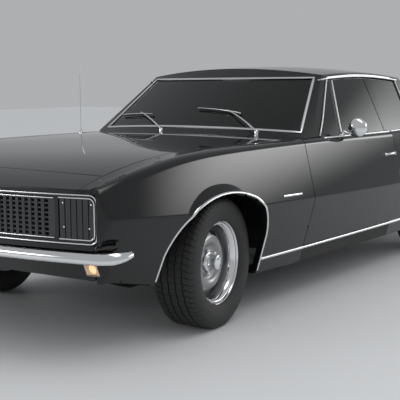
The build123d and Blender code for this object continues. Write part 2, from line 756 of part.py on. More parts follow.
# ---------------------------------------------------------------- nose and tail dress
band = block(nose_outline(inset=12), 400, 900) - block(nose_outline(inset=34), 400, 900)
bars = boxes(
    [(-800, 800, -2400, -2100, 527, 545), (-800, 800, -2400, -2100, 729, 746.5)]
    + [(-606, 606, -2400, -2100, z, z + 6) for z in (570, 601, 632, 663, 694)]
    + both([(x, x + 6, -2400, -2100, 530, 740) for x in range(44, 560, 84)])
    + both([(592, 610, -2400, -2100, 527, 746.5), (790, 805.7, -2400, -2100, 527, 746.5)])
)
with BuildPart() as grille:
    add(band & bars)
grille.part.label = "grille"
export_step(grille.part, "parts/grille.step")

cover_band = block(nose_outline(inset=18), 400, 900) - block(nose_outline(inset=32), 400, 900)
rib_band = block(nose_outline(inset=14), 400, 900) - block(nose_outline(inset=19), 400, 900)
cover = (cover_band & box(610.3, 789.7, -2400, -2100, 545.3, 728.7)) + (
    rib_band & boxes([(x, x + 7, -2400, -2100, 550, 724) for x in range(618, 780, 18)])
)
with BuildPart() as headlamp_covers:
    add(cover)
    add(mirrored(cover))
headlamp_covers.part.label = "headlamp_covers"
export_step(headlamp_covers.part, "parts/headlamp_covers.step")

with BuildSketch(Plane.XY) as bumper_plan:
    with BuildLine():
        outer_arc = ThreePointArc((-803, NOSE + 94), (0, NOSE), (803, NOSE + 94))
        ThreePointArc(outer_arc @ 1, (868, NOSE + 150), (884, NOSE + 252))
        Line((884, NOSE + 252), (862, NOSE + 252))
        ThreePointArc((862, NOSE + 252), (846, NOSE + 164), (795, NOSE + 119))
        ThreePointArc((795, NOSE + 119), (0, NOSE + 26), (-795, NOSE + 119))
        ThreePointArc((-795, NOSE + 119), (-846, NOSE + 164), (-862, NOSE + 252))
        Line((-862, NOSE + 252), (-884, NOSE + 252))
        ThreePointArc((-884, NOSE + 252), (-868, NOSE + 150), outer_arc @ 0)
    make_face()
bumper_bar = block(bumper_plan.sketch, 425, 498)
brackets = boxes(both([(*BRACKET[:2], NOSE + 20, SUPPORT_Y - FIT, *BRACKET[2:])]))
with BuildPart() as front_bumper:
    add(bumper_bar)
    add(brackets)
front_bumper.part.label = "front_bumper"
export_step(front_bumper.part, "parts/front_bumper.step")

rear_bar = block(nose_outline(back=0, inset=-40), 432, 500) - block(nose_outline(inset=-16), 400, 520)
rear_bar = rear_bar & box(-1000, 1000, 2120, 2400, 400, 520)
rear_mounts = boxes(both([(300, 360, 2240, 2330, 452, 480)])) - block(nose_outline(inset=-FIT), 400, 520)
with BuildPart() as rear_bumper:
    add(rear_bar)
    add(rear_mounts)
rear_bumper.part.label = "rear_bumper"
export_step(rear_bumper.part, "parts/rear_bumper.step")

lamp_face = block(nose_outline(back=LOW_BACK - 12), 300, 520) - block(nose_outline(back=LOW_BACK - FIT), 300, 520)
lamp = lamp_face & box(652, 716, -2400, -2000, 382, 432)
with BuildPart() as parking_lamps:
    add([lamp, mirrored(lamp)])
parking_lamps.part.label = "parking_lamps"
export_step(parking_lamps.part, "parts/parking_lamps.step")

tail_face = block(nose_outline(inset=-10), 600, 760) - block(nose_outline(inset=-FIT), 600, 760)
tail_lamp = tail_face & box(440, 750, 2200, 2400, 640, 742)
with BuildPart() as tail_lamps:
    add([tail_lamp, mirrored(tail_lamp)])
tail_lamps.part.label = "tail_lamps"
export_step(tail_lamps.part, "parts/tail_lamps.step")

# ---------------------------------------------------------------- cabin
SEAT_X = 385.0
WHEEL_TILT = 25.0
HELM = (SEAT_X, -70.0, 800.0)

with BuildPart() as dashboard:
    with BuildSketch(Plane.YZ.offset(-690)):
        with BuildLine():
            Polyline(
                (FIREWALL_Y + 20 + FIT, 640), (-430, 640), (-330, 700), (-318, 800), (-345, 838),
                (FIREWALL_Y + 20 + FIT, 850), close=True,
            )
        make_face()
    extrude(amount=1380)
    with BuildSketch(Plane(origin=HELM, z_dir=(0, cos(radians(WHEEL_TILT)), sin(radians(WHEEL_TILT))))):
        Circle(28)
    extrude(amount=-280)
    with BuildSketch(Plane(origin=HELM, z_dir=(0, cos(radians(WHEEL_TILT)), sin(radians(WHEEL_TILT))))):
        Circle(90)
    extrude(amount=-30, mode=Mode.SUBTRACT)
dashboard.part.label = "dashboard"
export_step(dashboard.part, "parts/dashboard.step")

with BuildPart() as steering_wheel:
    with BuildSketch(Plane.XY.offset(-30 + FIT)):
        Circle(40)
    extrude(amount=40 - FIT)
    with BuildSketch(Plane.XY.offset(-4)):
        Rectangle(360, 26)
    extrude(amount=8)
    with BuildSketch(Plane.XZ):
        with Locations((188, 0)):
            RegularPolygon(13, 4, rotation=45)
    revolve(axis=Axis.Z)
helm_plane = Plane(origin=HELM, x_dir=(1, 0, 0), z_dir=(0, cos(radians(WHEEL_TILT)), sin(radians(WHEEL_TILT))))
helm = helm_plane * steering_wheel.part
helm.label = "steering_wheel"
export_step(helm, "parts/steering_wheel.step")

seat_rows = ((SEAT_X - 210, SEAT_X + 210), (-SEAT_X - 210, -SEAT_X + 210))
with BuildPart() as front_seats:
    for x0, x1 in seat_rows:
        add(boxes([(x0 + 30, x1 - 30, 0, 440, FLOOR_TOP + FIT, 345), (x0, x1, -40, 470, 340, 480)]))
        with BuildSketch(Plane.YZ.offset(x0)):
            with BuildLine():
                Polyline((390, 470), (500, 450), (640, 830), (610, 870), (540, 850), close=True)
            make_face()
        extrude(amount=x1 - x0)
front_seats.part.label = "front_seats"
export_step(front_seats.part, "parts/front_seats.step")

with BuildPart() as rear_seat:
    with BuildSketch(Plane.YZ.offset(-570)):
        with BuildLine():
            Polyline(
                (640, TUNNEL_Z + WALL + FIT), (BULKHEAD_Y - FIT, TUNNEL_Z + WALL + FIT),
                (BULKHEAD_Y - FIT, 880), (1000, 890), (900, 590), (640, 590), close=True,
            )
        make_face()
    extrude(amount=1140)
    add(boxes(both([(TUNNEL + WALL + FIT, 570, 660, BULKHEAD_Y - FIT, FLOOR_TOP + FIT, 520)])))
rear_seat.part.label = "rear_seat"
export_step(rear_seat.part, "parts/rear_seat.step")

# ---------------------------------------------------------------- small fittings
MIRROR_FOOT = (828.0, -118.0)
MIRROR_HEAD = (915.0, -92.0, 932.0)
with BuildPart() as mirror_left:
    with BuildSketch(Plane(origin=MIRROR_HEAD, z_dir=(-0.25, 1, 0)).offset(-17)):
        Circle(50)
    extrude(amount=34)
    with BuildSketch(Plane.XY.offset(850)):
        with Locations(MIRROR_FOOT):
            Circle(14)
    extrude(amount=50)
    with BuildSketch(Plane(origin=(*MIRROR_FOOT, 894), z_dir=(1, 0.3, 0.3))):
        Circle(7)
    extrude(amount=80)
    add(outer, mode=Mode.SUBTRACT)
mirror_left.part.label = "mirror_left"
export_step(mirror_left.part, "parts/mirror_left.step")

MAST = (-790.0, -640.0)
with BuildPart() as antenna:
    with BuildSketch(Plane.XY.offset(860)):
        with Locations(MAST):
            Circle(12)
    extrude(amount=42)
    with BuildSketch(Plane.XY.offset(890)):
        with Locations(MAST):
            Circle(2.5)
    extrude(amount=411)
    add(outer, mode=Mode.SUBTRACT)
antenna.part.label = "antenna"
export_step(antenna.part, "parts/antenna.step")

WIPERS = (
    ((506, -548), (209, -405, 1038), (-19, -402, 1048), (310, -414, 1022)),
    ((-170, -582), (-492, -386, 1017), (-655, -374, 997), (-360, -426, 1007)),
)
with BuildPart() as wipers:
    for pivot, elbow, *blade in WIPERS:
        with BuildSketch(Plane.XY.offset(880)):
            with Locations(pivot):
                Circle(12)
        extrude(amount=52)
        for start, stop in (((*pivot, 926), elbow), blade):
            with BuildSketch(Plane(origin=start, z_dir=Vector(*stop) - Vector(*start))):
                Circle(5)
            extrude(amount=(Vector(*stop) - Vector(*start)).length)
    add(outer, mode=Mode.SUBTRACT)
wipers.part.label = "wipers"
export_step(wipers.part, "parts/wipers.step")
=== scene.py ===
"""Looks of the two-door hardtop coupe: paint skins, wheels, chrome, glass, cabin and the studio round it."""

import json
import math

import bpy
import bmesh
import numpy as np
from mathutils import Matrix, Vector
from mathutils.bvhtree import BVHTree

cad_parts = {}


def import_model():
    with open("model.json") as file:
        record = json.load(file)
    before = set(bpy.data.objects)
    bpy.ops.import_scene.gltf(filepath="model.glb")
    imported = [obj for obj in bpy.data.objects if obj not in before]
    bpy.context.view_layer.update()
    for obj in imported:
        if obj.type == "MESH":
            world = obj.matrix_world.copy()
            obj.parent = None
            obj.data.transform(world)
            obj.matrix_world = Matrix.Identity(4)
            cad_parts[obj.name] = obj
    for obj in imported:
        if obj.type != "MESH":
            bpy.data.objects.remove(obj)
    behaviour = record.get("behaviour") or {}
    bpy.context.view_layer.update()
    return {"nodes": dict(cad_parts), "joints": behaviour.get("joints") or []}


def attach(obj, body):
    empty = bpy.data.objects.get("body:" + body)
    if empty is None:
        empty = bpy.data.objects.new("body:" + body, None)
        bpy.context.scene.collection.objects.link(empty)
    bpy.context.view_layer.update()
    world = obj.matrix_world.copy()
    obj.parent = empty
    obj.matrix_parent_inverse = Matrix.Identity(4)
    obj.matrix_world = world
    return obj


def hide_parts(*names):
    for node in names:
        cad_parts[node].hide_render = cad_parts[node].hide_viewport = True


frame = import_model()
NODES = frame["nodes"]
MM = 0.001

# ---------------------------------------------------------------- camera
CAMERA_SPOT = Vector((3.468, -5.119, 1.210))
CAMERA_YAW = math.radians(36.4)
CAMERA_PITCH = math.radians(-7.16)
CAMERA_ROLL = math.radians(-0.52)
SENSOR = 36.0
FOCAL_PIXELS = 942.0
FRAME_PIXELS = 400.0


def placed(name, data):
    """A new object in the scene that holds the data."""
    made = bpy.data.objects.new(name, data)
    bpy.context.scene.collection.objects.link(made)
    return made


def camera():
    data = bpy.data.cameras.new("camera")
    data.sensor_width = SENSOR
    data.lens = SENSOR * FOCAL_PIXELS / FRAME_PIXELS
    cam = placed("camera", data)
    turn = Matrix.Rotation(CAMERA_YAW, 4, "Z")
    tilt = Matrix.Rotation(math.radians(90) + CAMERA_PITCH, 4, "X")
    roll = Matrix.Rotation(CAMERA_ROLL, 4, "Z")
    cam.matrix_world = Matrix.Translation(CAMERA_SPOT) @ turn @ tilt @ roll
    bpy.context.scene.camera = cam


# ---------------------------------------------------------------- materials
def wire(tree, made, inputs):
    """Give a node's inputs their values, or link them to the outputs given."""
    for key, value in inputs.items():
        if isinstance(value, bpy.types.NodeSocket):
            tree.links.new(value, made.inputs[key])
        else:
            made.inputs[key].default_value = value


def add_node(tree, kind, inputs, output=0, **settings):
    """The output of a new node with its settings and inputs."""
    made = tree.nodes.new(kind)
    for key, value in settings.items():
        setattr(made, key, value)
    wire(tree, made, inputs)
    return made.outputs[output]


def finish_of(name, colour, rough=0.4, metal=0.0, coat=0.0, grain=0.0, scale=40.0, bump=0.0, **extra):
    """A Principled material whose roughness and height vary with a fine noise."""
    made = bpy.data.materials.new(name)
    made.use_nodes = True
    tree = made.node_tree
    values = {"Base Color": (*colour, 1), "Metallic": metal, "Coat Weight": coat, "Coat Roughness": 0.03}
    values |= {key.replace("_", " "): value for key, value in extra.items()}
    place = add_node(tree, "ShaderNodeTexCoord", {}, "Object")
    noise = add_node(tree, "ShaderNodeTexNoise", {"Scale": scale, "Detail": 4, "Vector": place}, "Fac")
    spread = {"Value": noise, "To Min": max(rough - grain, 0.01), "To Max": rough + grain}
    values["Roughness"] = add_node(tree, "ShaderNodeMapRange", spread)
    if bump:
        relief = {"Height": noise, "Strength": bump, "Distance": 0.001}
        values["Normal"] = add_node(tree, "ShaderNodeBump", relief)
    wire(tree, tree.nodes["Principled BSDF"], values)
    return made


PAINT = finish_of(
    "paint_black", (0.004, 0.004, 0.0045), 0.35, coat=1.0, grain=0.05, scale=3.0, Specular_IOR_Level=0.0,
)
CHROME = finish_of("chrome", (0.80, 0.81, 0.82), 0.07, metal=1.0, grain=0.02)
RUBBER = finish_of("rubber", (0.017, 0.017, 0.017), 0.62, grain=0.1, scale=300, bump=0.3)
GLASS = finish_of(
    "glass_tint", (0.055, 0.060, 0.060), 0.015, grain=0.004, scale=5, Transmission_Weight=1.0, IOR=1.45,
)
DARK = finish_of("underside_black", (0.012, 0.012, 0.012), 0.6, grain=0.1, scale=60, bump=0.2)
WHEEL_GREY = finish_of("wheel_grey", (0.34, 0.345, 0.35), 0.34, metal=1.0, grain=0.06, scale=120, bump=0.05)
GRILLE_BLACK = finish_of("grille_black", (0.008, 0.008, 0.008), 0.35, grain=0.05, scale=80)
GRILLE_GREY = finish_of("grille_grey", (0.06, 0.06, 0.062), 0.38, metal=0.6, grain=0.05, scale=80)
COVER_BLACK = finish_of("lamp_door_black", (0.018, 0.018, 0.019), 0.38, coat=0.3, grain=0.05, scale=80)
LAMP_WARM = finish_of(
    "lamp_warm", (1.0, 0.72, 0.45), 0.25, grain=0.1, scale=220, bump=0.4,
    Emission_Color=(1.0, 0.60, 0.30, 1.0), Emission_Strength=0.75,
)
LENS_WARM = finish_of(
    "lens_warm", (0.55, 0.34, 0.18), 0.20, grain=0.1, scale=220, bump=0.4,
    Emission_Color=(1.0, 0.55, 0.26, 1.0), Emission_Strength=0.22,
)
LENS_RED = finish_of("lens_red", (0.30, 0.006, 0.006), 0.12, coat=1.0, grain=0.03, scale=220, bump=0.3)
IRON = finish_of("engine_iron", (0.022, 0.022, 0.023), 0.6, grain=0.1, scale=30, bump=0.3)
STEEL = finish_of("chassis_steel", (0.025, 0.025, 0.026), 0.5, metal=0.3, grain=0.1, scale=50, bump=0.2)
PIPE = finish_of("exhaust_steel", (0.30, 0.29, 0.28), 0.42, metal=1.0, grain=0.1, scale=40, bump=0.2)
MIRROR_GLASS = finish_of("mirror_glass", (0.85, 0.86, 0.87), 0.02, metal=1.0, grain=0.005)
VINYL = finish_of("vinyl_black", (0.014, 0.014, 0.014), 0.42, grain=0.06, scale=420, bump=0.35)
DASH = finish_of("dash_plastic", (0.012, 0.012, 0.012), 0.5, grain=0.06, scale=260, bump=0.25)
BY_NODE = {
    PAINT: (
        "front_fenders", "header_panel", "hood", "door_left", "door_right", "quarter_panels", "trunk_lid",
        "tail_panel", "cowl_panel", "roof", "front_valance",
    ),
    GLASS: ("windshield", "rear_window", "door_glass_left", "door_glass_right", "quarter_glass"),
    CHROME: ("front_bumper", "rear_bumper", "mirror_left", "antenna", "wipers"),
    GRILLE_BLACK: ("grille", "headlamp_covers"),
    LAMP_WARM: ("parking_lamps",),
    LENS_RED: ("tail_lamps",),
    IRON: ("engine",),
    STEEL: ("front_subframe", "rear_axle", "knuckle_left", "knuckle_right"),
    PIPE: ("exhaust", "fuel_tank"),
    VINYL: ("front_seats", "rear_seat"),
    DASH: ("dashboard", "steering_wheel"),
}
FINISH = {name: made for made, names in BY_NODE.items() for name in names}
SHARP = math.radians(28)


def smooth_group():
    """Geometry nodes that shade a mesh smooth but for its sharp edges."""
    tree = bpy.data.node_groups.new("smooth_by_angle", "GeometryNodeTree")
    for way in ("INPUT", "OUTPUT"):
        tree.interface.new_socket("Geometry", in_out=way, socket_type="NodeSocketGeometry")
    start = add_node(tree, "NodeGroupInput", {})
    merged = add_node(tree, "GeometryNodeMergeByDistance", {"Geometry": start, "Distance": 1e-5})
    faces = add_node(tree, "GeometryNodeSetShadeSmooth", {"Geometry": merged}, domain="FACE")
    turn = add_node(tree, "GeometryNodeInputMeshEdgeAngle", {}, "Unsigned Angle")
    compare = {"data_type": "FLOAT", "operation": "GREATER_THAN"}
    sharp = add_node(tree, "FunctionNodeCompare", {"A": turn, "B": SHARP}, **compare)
    edges = {"Geometry": faces, "Selection": sharp, "Shade Smooth": False}
    edges = add_node(tree, "GeometryNodeSetShadeSmooth", edges, domain="EDGE")
    wire(tree, tree.nodes.new("NodeGroupOutput"), {0: edges})
    return tree


SMOOTH = smooth_group()
for name, piece in NODES.items():
    made = WHEEL_GREY if name.startswith("wheel_") else RUBBER if name.startswith("tyre_") else DARK
    piece.data.materials.clear()
    piece.data.materials.append(FINISH.get(name, made))
    piece.modifiers.new("smooth", "NODES").node_group = SMOOTH

# ---------------------------------------------------------------- studio
BACKDROP = (0.42, 0.43, 0.44)
AMBIENT = (0.82, 0.84, 0.86)
SOFT_GAIN = 1.45
# name, place, width and height, power, and the point it faces
LAMPS = (
    ("flank", (5.2, 8.0, 3.0), (13.0, 2.9), 290, (0.9, -0.5, 0.7)),
    ("overhead", (2.5, -1.0, 6.5), (4.0, 9.0), 170, (0.5, -0.5, 0.6)),
    ("front", (-4.5, -8.0, 2.8), (5.0, 1.6), 160, (0.2, -2.0, 0.6)),
)


def world():
    """The backdrop's grey to the camera, to reflections and through glass, and soft even light besides."""
    made = bpy.data.worlds.new("world")
    bpy.context.scene.world = made
    made.use_nodes = True
    tree = made.node_tree
    light = tree.nodes["Background"]
    wire(tree, light, {"Color": (*AMBIENT, 1)})
    shown = add_node(tree, "ShaderNodeBackground", {"Color": (*BACKDROP, 1)})
    seen = add_node(tree, "ShaderNodeLightPath", {}, "Is Camera Ray")
    rays = seen.node.outputs
    for kind in ("Is Glossy Ray", "Is Transmission Ray"):
        seen = add_node(tree, "ShaderNodeMath", {0: seen, 1: rays[kind]}, operation="MAXIMUM")
    mix = add_node(tree, "ShaderNodeMixShader", {0: seen, 1: light.outputs[0], 2: shown})
    wire(tree, tree.nodes["World Output"], {"Surface": mix})


def soften(data):
    """Make a lamp fade out towards its edges, as a softbox does."""
    data.use_nodes = True
    tree = data.node_tree
    place = add_node(tree, "ShaderNodeNewGeometry", {}, "Parametric")
    across = add_node(tree, "ShaderNodeSeparateXYZ", {0: place}).node.outputs
    fades = {}
    for k, axis in enumerate("XY"):
        inward = add_node(tree, "ShaderNodeMath", {0: across[axis], 1: 0.5}, operation="PINGPONG")
        ramp = {"Value": inward, "From Max": 0.5, "To Max": SOFT_GAIN}
        fades[k] = add_node(tree, "ShaderNodeMapRange", ramp, interpolation_type="SMOOTHSTEP")
    strength = add_node(tree, "ShaderNodeMath", fades, operation="MULTIPLY")
    wire(tree, tree.nodes["Emission"], {"Strength": strength})


def studio():
    bpy.context.scene.view_settings.view_transform = "Standard"
    world()
    bpy.ops.mesh.primitive_plane_add(size=60, location=(0, 0, 0))
    floor = bpy.context.object
    floor.name = "floor"
    floor.data.materials.append(finish_of("floor_pale", (0.62, 0.625, 0.63), 0.5, grain=0.05, scale=2))
    for name, spot, size, power, aim in LAMPS:
        data = bpy.data.lights.new(name, "AREA")
        data.shape, data.size, data.size_y, data.energy = "RECTANGLE", *size, power
        soften(data)
        lamp = placed(name, data)
        lamp.location = spot
        lamp.rotation_euler = (Vector(aim) - Vector(spot)).to_track_quat("-Z", "Y").to_euler()


# ---------------------------------------------------------------- body form
# y, then floor z, sill x, crease x and z, shoulder x and z, ridge x and z, centre z, in millimetres
SECTIONS = np.array([
    (-2400, 385, 690, 806, 646, 778, 690, 735, 712, 728),
    (-2100, 340, 742, 872, 629, 832, 782, 780, 797, 830),
    (-1700, 262, 775, 912, 604, 852, 850, 786, 864, 874),
    (-1250, 214, 800, 921, 586, 852, 870, 784, 880, 893),
    (-600, 204, 818, 921, 568, 850, 872, 788, 882, 906),
    (100, 200, 820, 921, 552, 852, 868, 800, 882, 902),
    (800, 200, 815, 921, 545, 862, 868, 806, 886, 904),
    (1350, 226, 800, 918, 552, 872, 898, 800, 922, 932),
    (1900, 280, 765, 884, 566, 838, 886, 766, 908, 920),
    (2400, 340, 700, 806, 570, 762, 836, 694, 862, 880),
]) * MM
# y, then foot x, rail x and z, centre z of the greenhouse, in millimetres
HOUSE = np.array([
    (-700, 836, 660, 1216, 1262),
    (-100, 828, 646, 1236, 1284),
    (350, 826, 642, 1254, 1302),
    (850, 832, 640, 1238, 1286),
    (1750, 858, 636, 1150, 1198),
]) * MM
HOUSE_FOOT = 0.862
BULGE = 0.14
SKIN = 0.0045
NOSE_PLAN = ((0.0, -2.334), (0.806, -2.238), (0.852, -2.200), (0.882, -2.120))
TAIL_PLAN = ((0.0, 2.304), (0.770, 2.262), (0.838, 2.238), (0.868, 2.150))
LOW_BACK = 0.110
# foot y and z, head y and z, and the bow's radius of the raked windows
SCREEN = (-0.530, 0.938, -0.100, 1.265, 3.6)
BACKLIGHT = (1.530, 0.925, 1.075, 1.262, 6.0)
OUT, UP = (1, 0, 0), (0, 0, 1)


def xyz(x, y, z):
    """Points from coordinates that broadcast together."""
    return np.stack(np.broadcast_arrays(x, y, z), -1).astype(float)


def unit(v):
    return v / np.maximum(np.linalg.norm(v, axis=-1, keepdims=True), 1e-12)


def spline(rows):
    """Smooth columns of the table against its first one, spaced by the root of each step."""
    xs = np.concatenate([[0], np.cumsum(np.sqrt(np.diff(rows[:, 0])))])
    n, h = len(xs), np.diff(xs)
    a, b = np.zeros((n, n)), np.zeros((n, rows.shape[1]))
    a[0, :3] = h[1], -(h[0] + h[1]), h[0]
    a[-1, -3:] = h[-1], -(h[-1] + h[-2]), h[-2]
    for i in range(1, n - 1):
        a[i, i - 1 : i + 2] = h[i - 1], 2 * (h[i - 1] + h[i]), h[i]
        b[i] = 6 * ((rows[i + 1] - rows[i]) / h[i] - (rows[i] - rows[i - 1]) / h[i - 1])
    m = np.linalg.solve(a, b)
    x = np.linspace(xs[0], xs[-1], 1500)
    i = np.clip(np.searchsorted(xs, x) - 1, 0, n - 2)
    t, u, k = (xs[i + 1] - x)[:, None], (x - xs[i])[:, None], h[i][:, None]
    dense = (m[i] * t**3 + m[i + 1] * u**3) / (6 * k)
    dense += (rows[i] / k - m[i] * k / 6) * t + (rows[i + 1] / k - m[i + 1] * k / 6) * u
    return lambda y: [np.interp(y, dense[:, 0], column) for column in dense[:, 1:].T]


section_at = spline(SECTIONS)
house_at = spline(HOUSE)


def smax(a, b, r):
    """Smooth larger of two distances, rounded over about r."""
    h = np.clip(0.5 + 0.5 * (a - b) / r, 0, 1)
    return a * h + b * (1 - h) + r * h * (1 - h)


def arc_height(x, half, edge_z, top_z):
    """Height of the arc that rises from the edge to the middle."""
    rise = top_z - edge_z
    radius = (half * half + rise * rise) / (2 * rise)
    return top_z - radius + np.sqrt(np.maximum(radius**2 - np.abs(x) ** 2, 0))


def line_side(x, z, x0, z0, x1, z1):
    """Distance of x, z outside the line that runs up from 0 to 1."""
    dx, dz = x1 - x0, z1 - z0
    return ((x - x0) * dz - (z - z0) * dx) / np.sqrt(dx * dx + dz * dz)


def circle_of(a, b, c):
    """Centre and radius of the circle through three points."""
    (ax, ay), (bx, by), (cx, cy) = a, b, c
    d = 2 * (ax * (by - cy) + bx * (cy - ay) + cx * (ay - by))
    fa, fb, fc = ax**2 + ay**2, bx**2 + by**2, cx**2 + cy**2
    ux = (fa * (by - cy) + fb * (cy - ay) + fc * (ay - by)) / d
    uy = (fa * (cx - bx) + fb * (ax - cx) + fc * (bx - ax)) / d
    return ux, uy, math.hypot(ax - ux, ay - uy)


def end_side(x, y, plan, back=0.0):
    """Distance outside the curved nose or tail, seen from above."""
    sign = -1.0 if plan[0][1] < 0 else 1.0
    x, shift = np.abs(x), y + sign * back
    flat = circle_of((-plan[1][0], plan[1][1]), plan[0], plan[1])
    turn = circle_of(*plan[1:])
    face, corner = (np.hypot(x - c[0], shift - c[1]) - c[2] for c in (flat, turn))
    return np.where(x < plan[1][0], face, np.where(sign * shift < sign * plan[3][1], -0.05, corner))


def body_side(x, y, z):
    """Rough distance outside the lower body: positive outside, rounded at its edges."""
    x = np.abs(x)
    floor, sill, crease, crease_z, shoulder, shoulder_z, ridge, ridge_z, top = section_at(y)
    mid = (shoulder + ridge) / 2 + BULGE * (shoulder - ridge)
    mid_z = (shoulder_z + ridge_z) / 2 + BULGE * (shoulder - ridge)
    lower = line_side(x, z, sill, floor, crease, crease_z)
    upper = line_side(x, z, crease, crease_z, shoulder, shoulder_z)
    turn = line_side(x, z, shoulder, shoulder_z, mid, mid_z)
    flat = line_side(x, z, mid, mid_z, ridge, ridge_z)
    crown = z - arc_height(np.minimum(x, ridge), ridge, ridge_z, top)
    valley = -smax(-flat, -crown, 0.004)
    over = np.where(x > (mid + ridge) / 2, flat, np.where(x < ridge - 0.03, crown, valley))
    return smax(smax(smax(lower, upper, 0.006), turn, 0.012), over, 0.012)


def whole_body(x, y, z):
    nose = smax(body_side(x, y, z), end_side(x, y, NOSE_PLAN), 0.010)
    return smax(nose, end_side(x, y, TAIL_PLAN), 0.010)


def low_front(x, y, z):
    """The body below the bumper, which stands further back."""
    return smax(body_side(x, y, z), end_side(x, y, NOSE_PLAN, LOW_BACK), 0.010)


def raked_side(x, y, z, foot_y, foot_z, head_y, head_z, radius):
    """Distance outside a raked window's cylinder."""
    run, rise = head_y - foot_y, head_z - foot_z
    span = math.hypot(run, rise)
    side = 1.0 if run > 0 else -1.0
    ny, nz = -side * rise / span, side * run / span
    cy, cz = (foot_y + head_y) / 2 - ny * radius, (foot_z + head_z) / 2 - nz * radius
    return np.hypot(x, (y - cy) * ny + (z - cz) * nz) - radius


def roof_height(x, y, past):
    """Height of the roof's arc, held level beyond the rail and a little past it."""
    _, rail, rail_z, top = house_at(y)
    return arc_height(np.minimum(np.abs(x), rail + past), rail, rail_z, top)


def house_side(x, y, z):
    """Rough distance outside the greenhouse."""
    foot, rail, rail_z, _ = house_at(y)
    side = line_side(np.abs(x), z, foot, HOUSE_FOOT, rail, rail_z)
    form = smax(side, z - roof_height(x, y, 0.02), 0.012)
    form = smax(form, raked_side(x, y, z, *SCREEN), 0.008)
    return smax(form, raked_side(x, y, z, *BACKLIGHT), 0.008)


def halved(near, far, inside, turns):
    """Near and far narrowed, point by point, on the place where inside ends."""
    for _ in range(turns):
        mid = (near + far) / 2
        use = inside(mid)
        near, far = np.where(use, mid, near), np.where(use, far, mid)
    return near, far


def cast(form, origin, ray, reach=0.6, lift=SKIN):
    """First points out along the rays where the form's distance is lift."""
    origin, ray = np.broadcast_arrays(np.asarray(origin, float), np.asarray(ray, float))

    def at(way):
        return origin + ray * way[..., None]

    start = np.zeros(origin.shape[:-1])
    return at(halved(start, start + reach, lambda way: form(*np.moveaxis(at(way), -1, 0)) < lift, 36)[0])


def normals_of(form, p, step=0.0004):
    grad = [form(*np.moveaxis(p + d, -1, 0)) - form(*np.moveaxis(p - d, -1, 0)) for d in np.eye(3) * step]
    return unit(np.stack(grad, -1))


# ---------------------------------------------------------------- skins
def welded(grids):
    """Points and faces of several grids with shared points joined."""
    points = np.concatenate([g.reshape(-1, 3) for g in grids])
    faces, start = [], 0
    for g in grids:
        rows, cols = g.shape[:2]
        i, j = np.meshgrid(np.arange(rows - 1), np.arange(cols - 1), indexing="ij")
        a = start + i * cols + j
        faces.append(np.stack([a, a + 1, a + cols + 1, a + cols], -1).reshape(-1, 4))
        start += rows * cols
    keys = np.round(points / 2e-5).astype(np.int64)
    _, first, index = np.unique(keys, axis=0, return_index=True, return_inverse=True)
    clean = []
    for face in index.reshape(-1)[np.concatenate(faces)]:
        ring = [v for k, v in enumerate(face) if v != face[k - 1]]
        if len(set(ring)) >= 3 and len(set(ring)) == len(ring):
            clean.append(ring)
    used = sorted({v for ring in clean for v in ring})
    place = {v: k for k, v in enumerate(used)}
    return points[first][used], [[place[v] for v in ring] for ring in clean]


BORDER_TURNS = [(math.cos(math.radians(a)), math.sin(math.radians(a))) for a in (30, 60, 90)]


def skin(name, body, grids, form, roll=0.0015, depth=0.010, drop=None):
    """Painted sheet through the grids with true surface normals, its border rolled over and turned in."""
    points, faces = welded(grids)
    normals = normals_of(form, points)
    uses, ways = {}, {}
    for ring in faces:
        a, b, c = points[ring[:3]]
        if np.dot(np.cross(b - a, c - a), normals[ring[0]]) < 0:
            ring.reverse()
        for u, v in zip(ring, ring[1:] + ring[:1]):
            uses.setdefault((min(u, v), max(u, v)), []).append((u, v))
    border = [use[0] for use in uses.values() if len(use) == 1]
    for u, v in border:
        way = unit(np.cross(points[v] - points[u], normals[u] + normals[v]))
        for w in (u, v):
            ways.setdefault(w, []).append(way)
    verts, tilts, rings = list(points), list(normals), {}
    for w, near in ways.items():
        p, n, m = points[w], normals[w], unit(np.sum(near, axis=0))
        spread = 1 / max(float(np.dot(m, near[0])), 0.6)
        rings[w] = [w, *range(len(verts), len(verts) + len(BORDER_TURNS) + 1)]
        for c, s in BORDER_TURNS:
            verts.append(p + m * roll * s * spread - n * roll * (1 - c))
            tilts.append(n * c + m * s)
        verts.append(p + m * roll * spread - n * (roll + (drop(p, m, depth) if drop else depth)))
        tilts.append(m)
    for u, v in border:
        for i in range(len(BORDER_TURNS) + 1):
            faces.append([rings[v][i], rings[u][i], rings[u][i + 1], rings[v][i + 1]])
    mesh = bpy.data.meshes.new(name)
    mesh.from_pydata([tuple(v) for v in verts], [], [tuple(f) for f in faces])
    mesh.materials.append(PAINT)
    mesh.polygons.foreach_set("use_smooth", [True] * len(mesh.polygons))
    mesh.normals_split_custom_set_from_vertices([tuple(n) for n in tilts])
    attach(placed(name, mesh), body)


def flipped(grids):
    return [g * (-1, 1, 1) for g in grids]


# ---------------------------------------------------------------- front fenders and doors
EDGE = 0.001
HOOD_HALF = 0.716
GAP = 0.005
FENDER_IN = HOOD_HALF + GAP + EDGE
DOOR_FRONT = -0.5945
DOOR_REAR = 0.5195
DOOR_LOW = 0.297
DOOR_IN = 0.8135
SHELF = 0.505
MOUTH_TOP = 0.747
MOUTH_X = 0.806
ARCH_MID = -1.423
ARCH_HALF = 0.392
ARCH_CROWN = 0.674
ARCH_FOOT = 0.335
LOWER_ROWS = (0.19, 0.22, 0.25, 0.28, 0.31, 0.34, 0.38, 0.42, 0.46, SHELF)
CREASE_STEPS = (-0.008, -0.005, -0.0025, 0, 0.0025, 0.005, 0.008, 0.012)
FAN, FAN_DROP = 0.060, 0.030
SIDE_X = 0.55
CORNER_Y = -2.100
STEP_Y = -2.035
FLARE = 0.014
FLARE_MID, FLARE_WIDE, FLARE_LOW, FLARE_HIGH = -1.475, 0.345, 0.54, 0.725
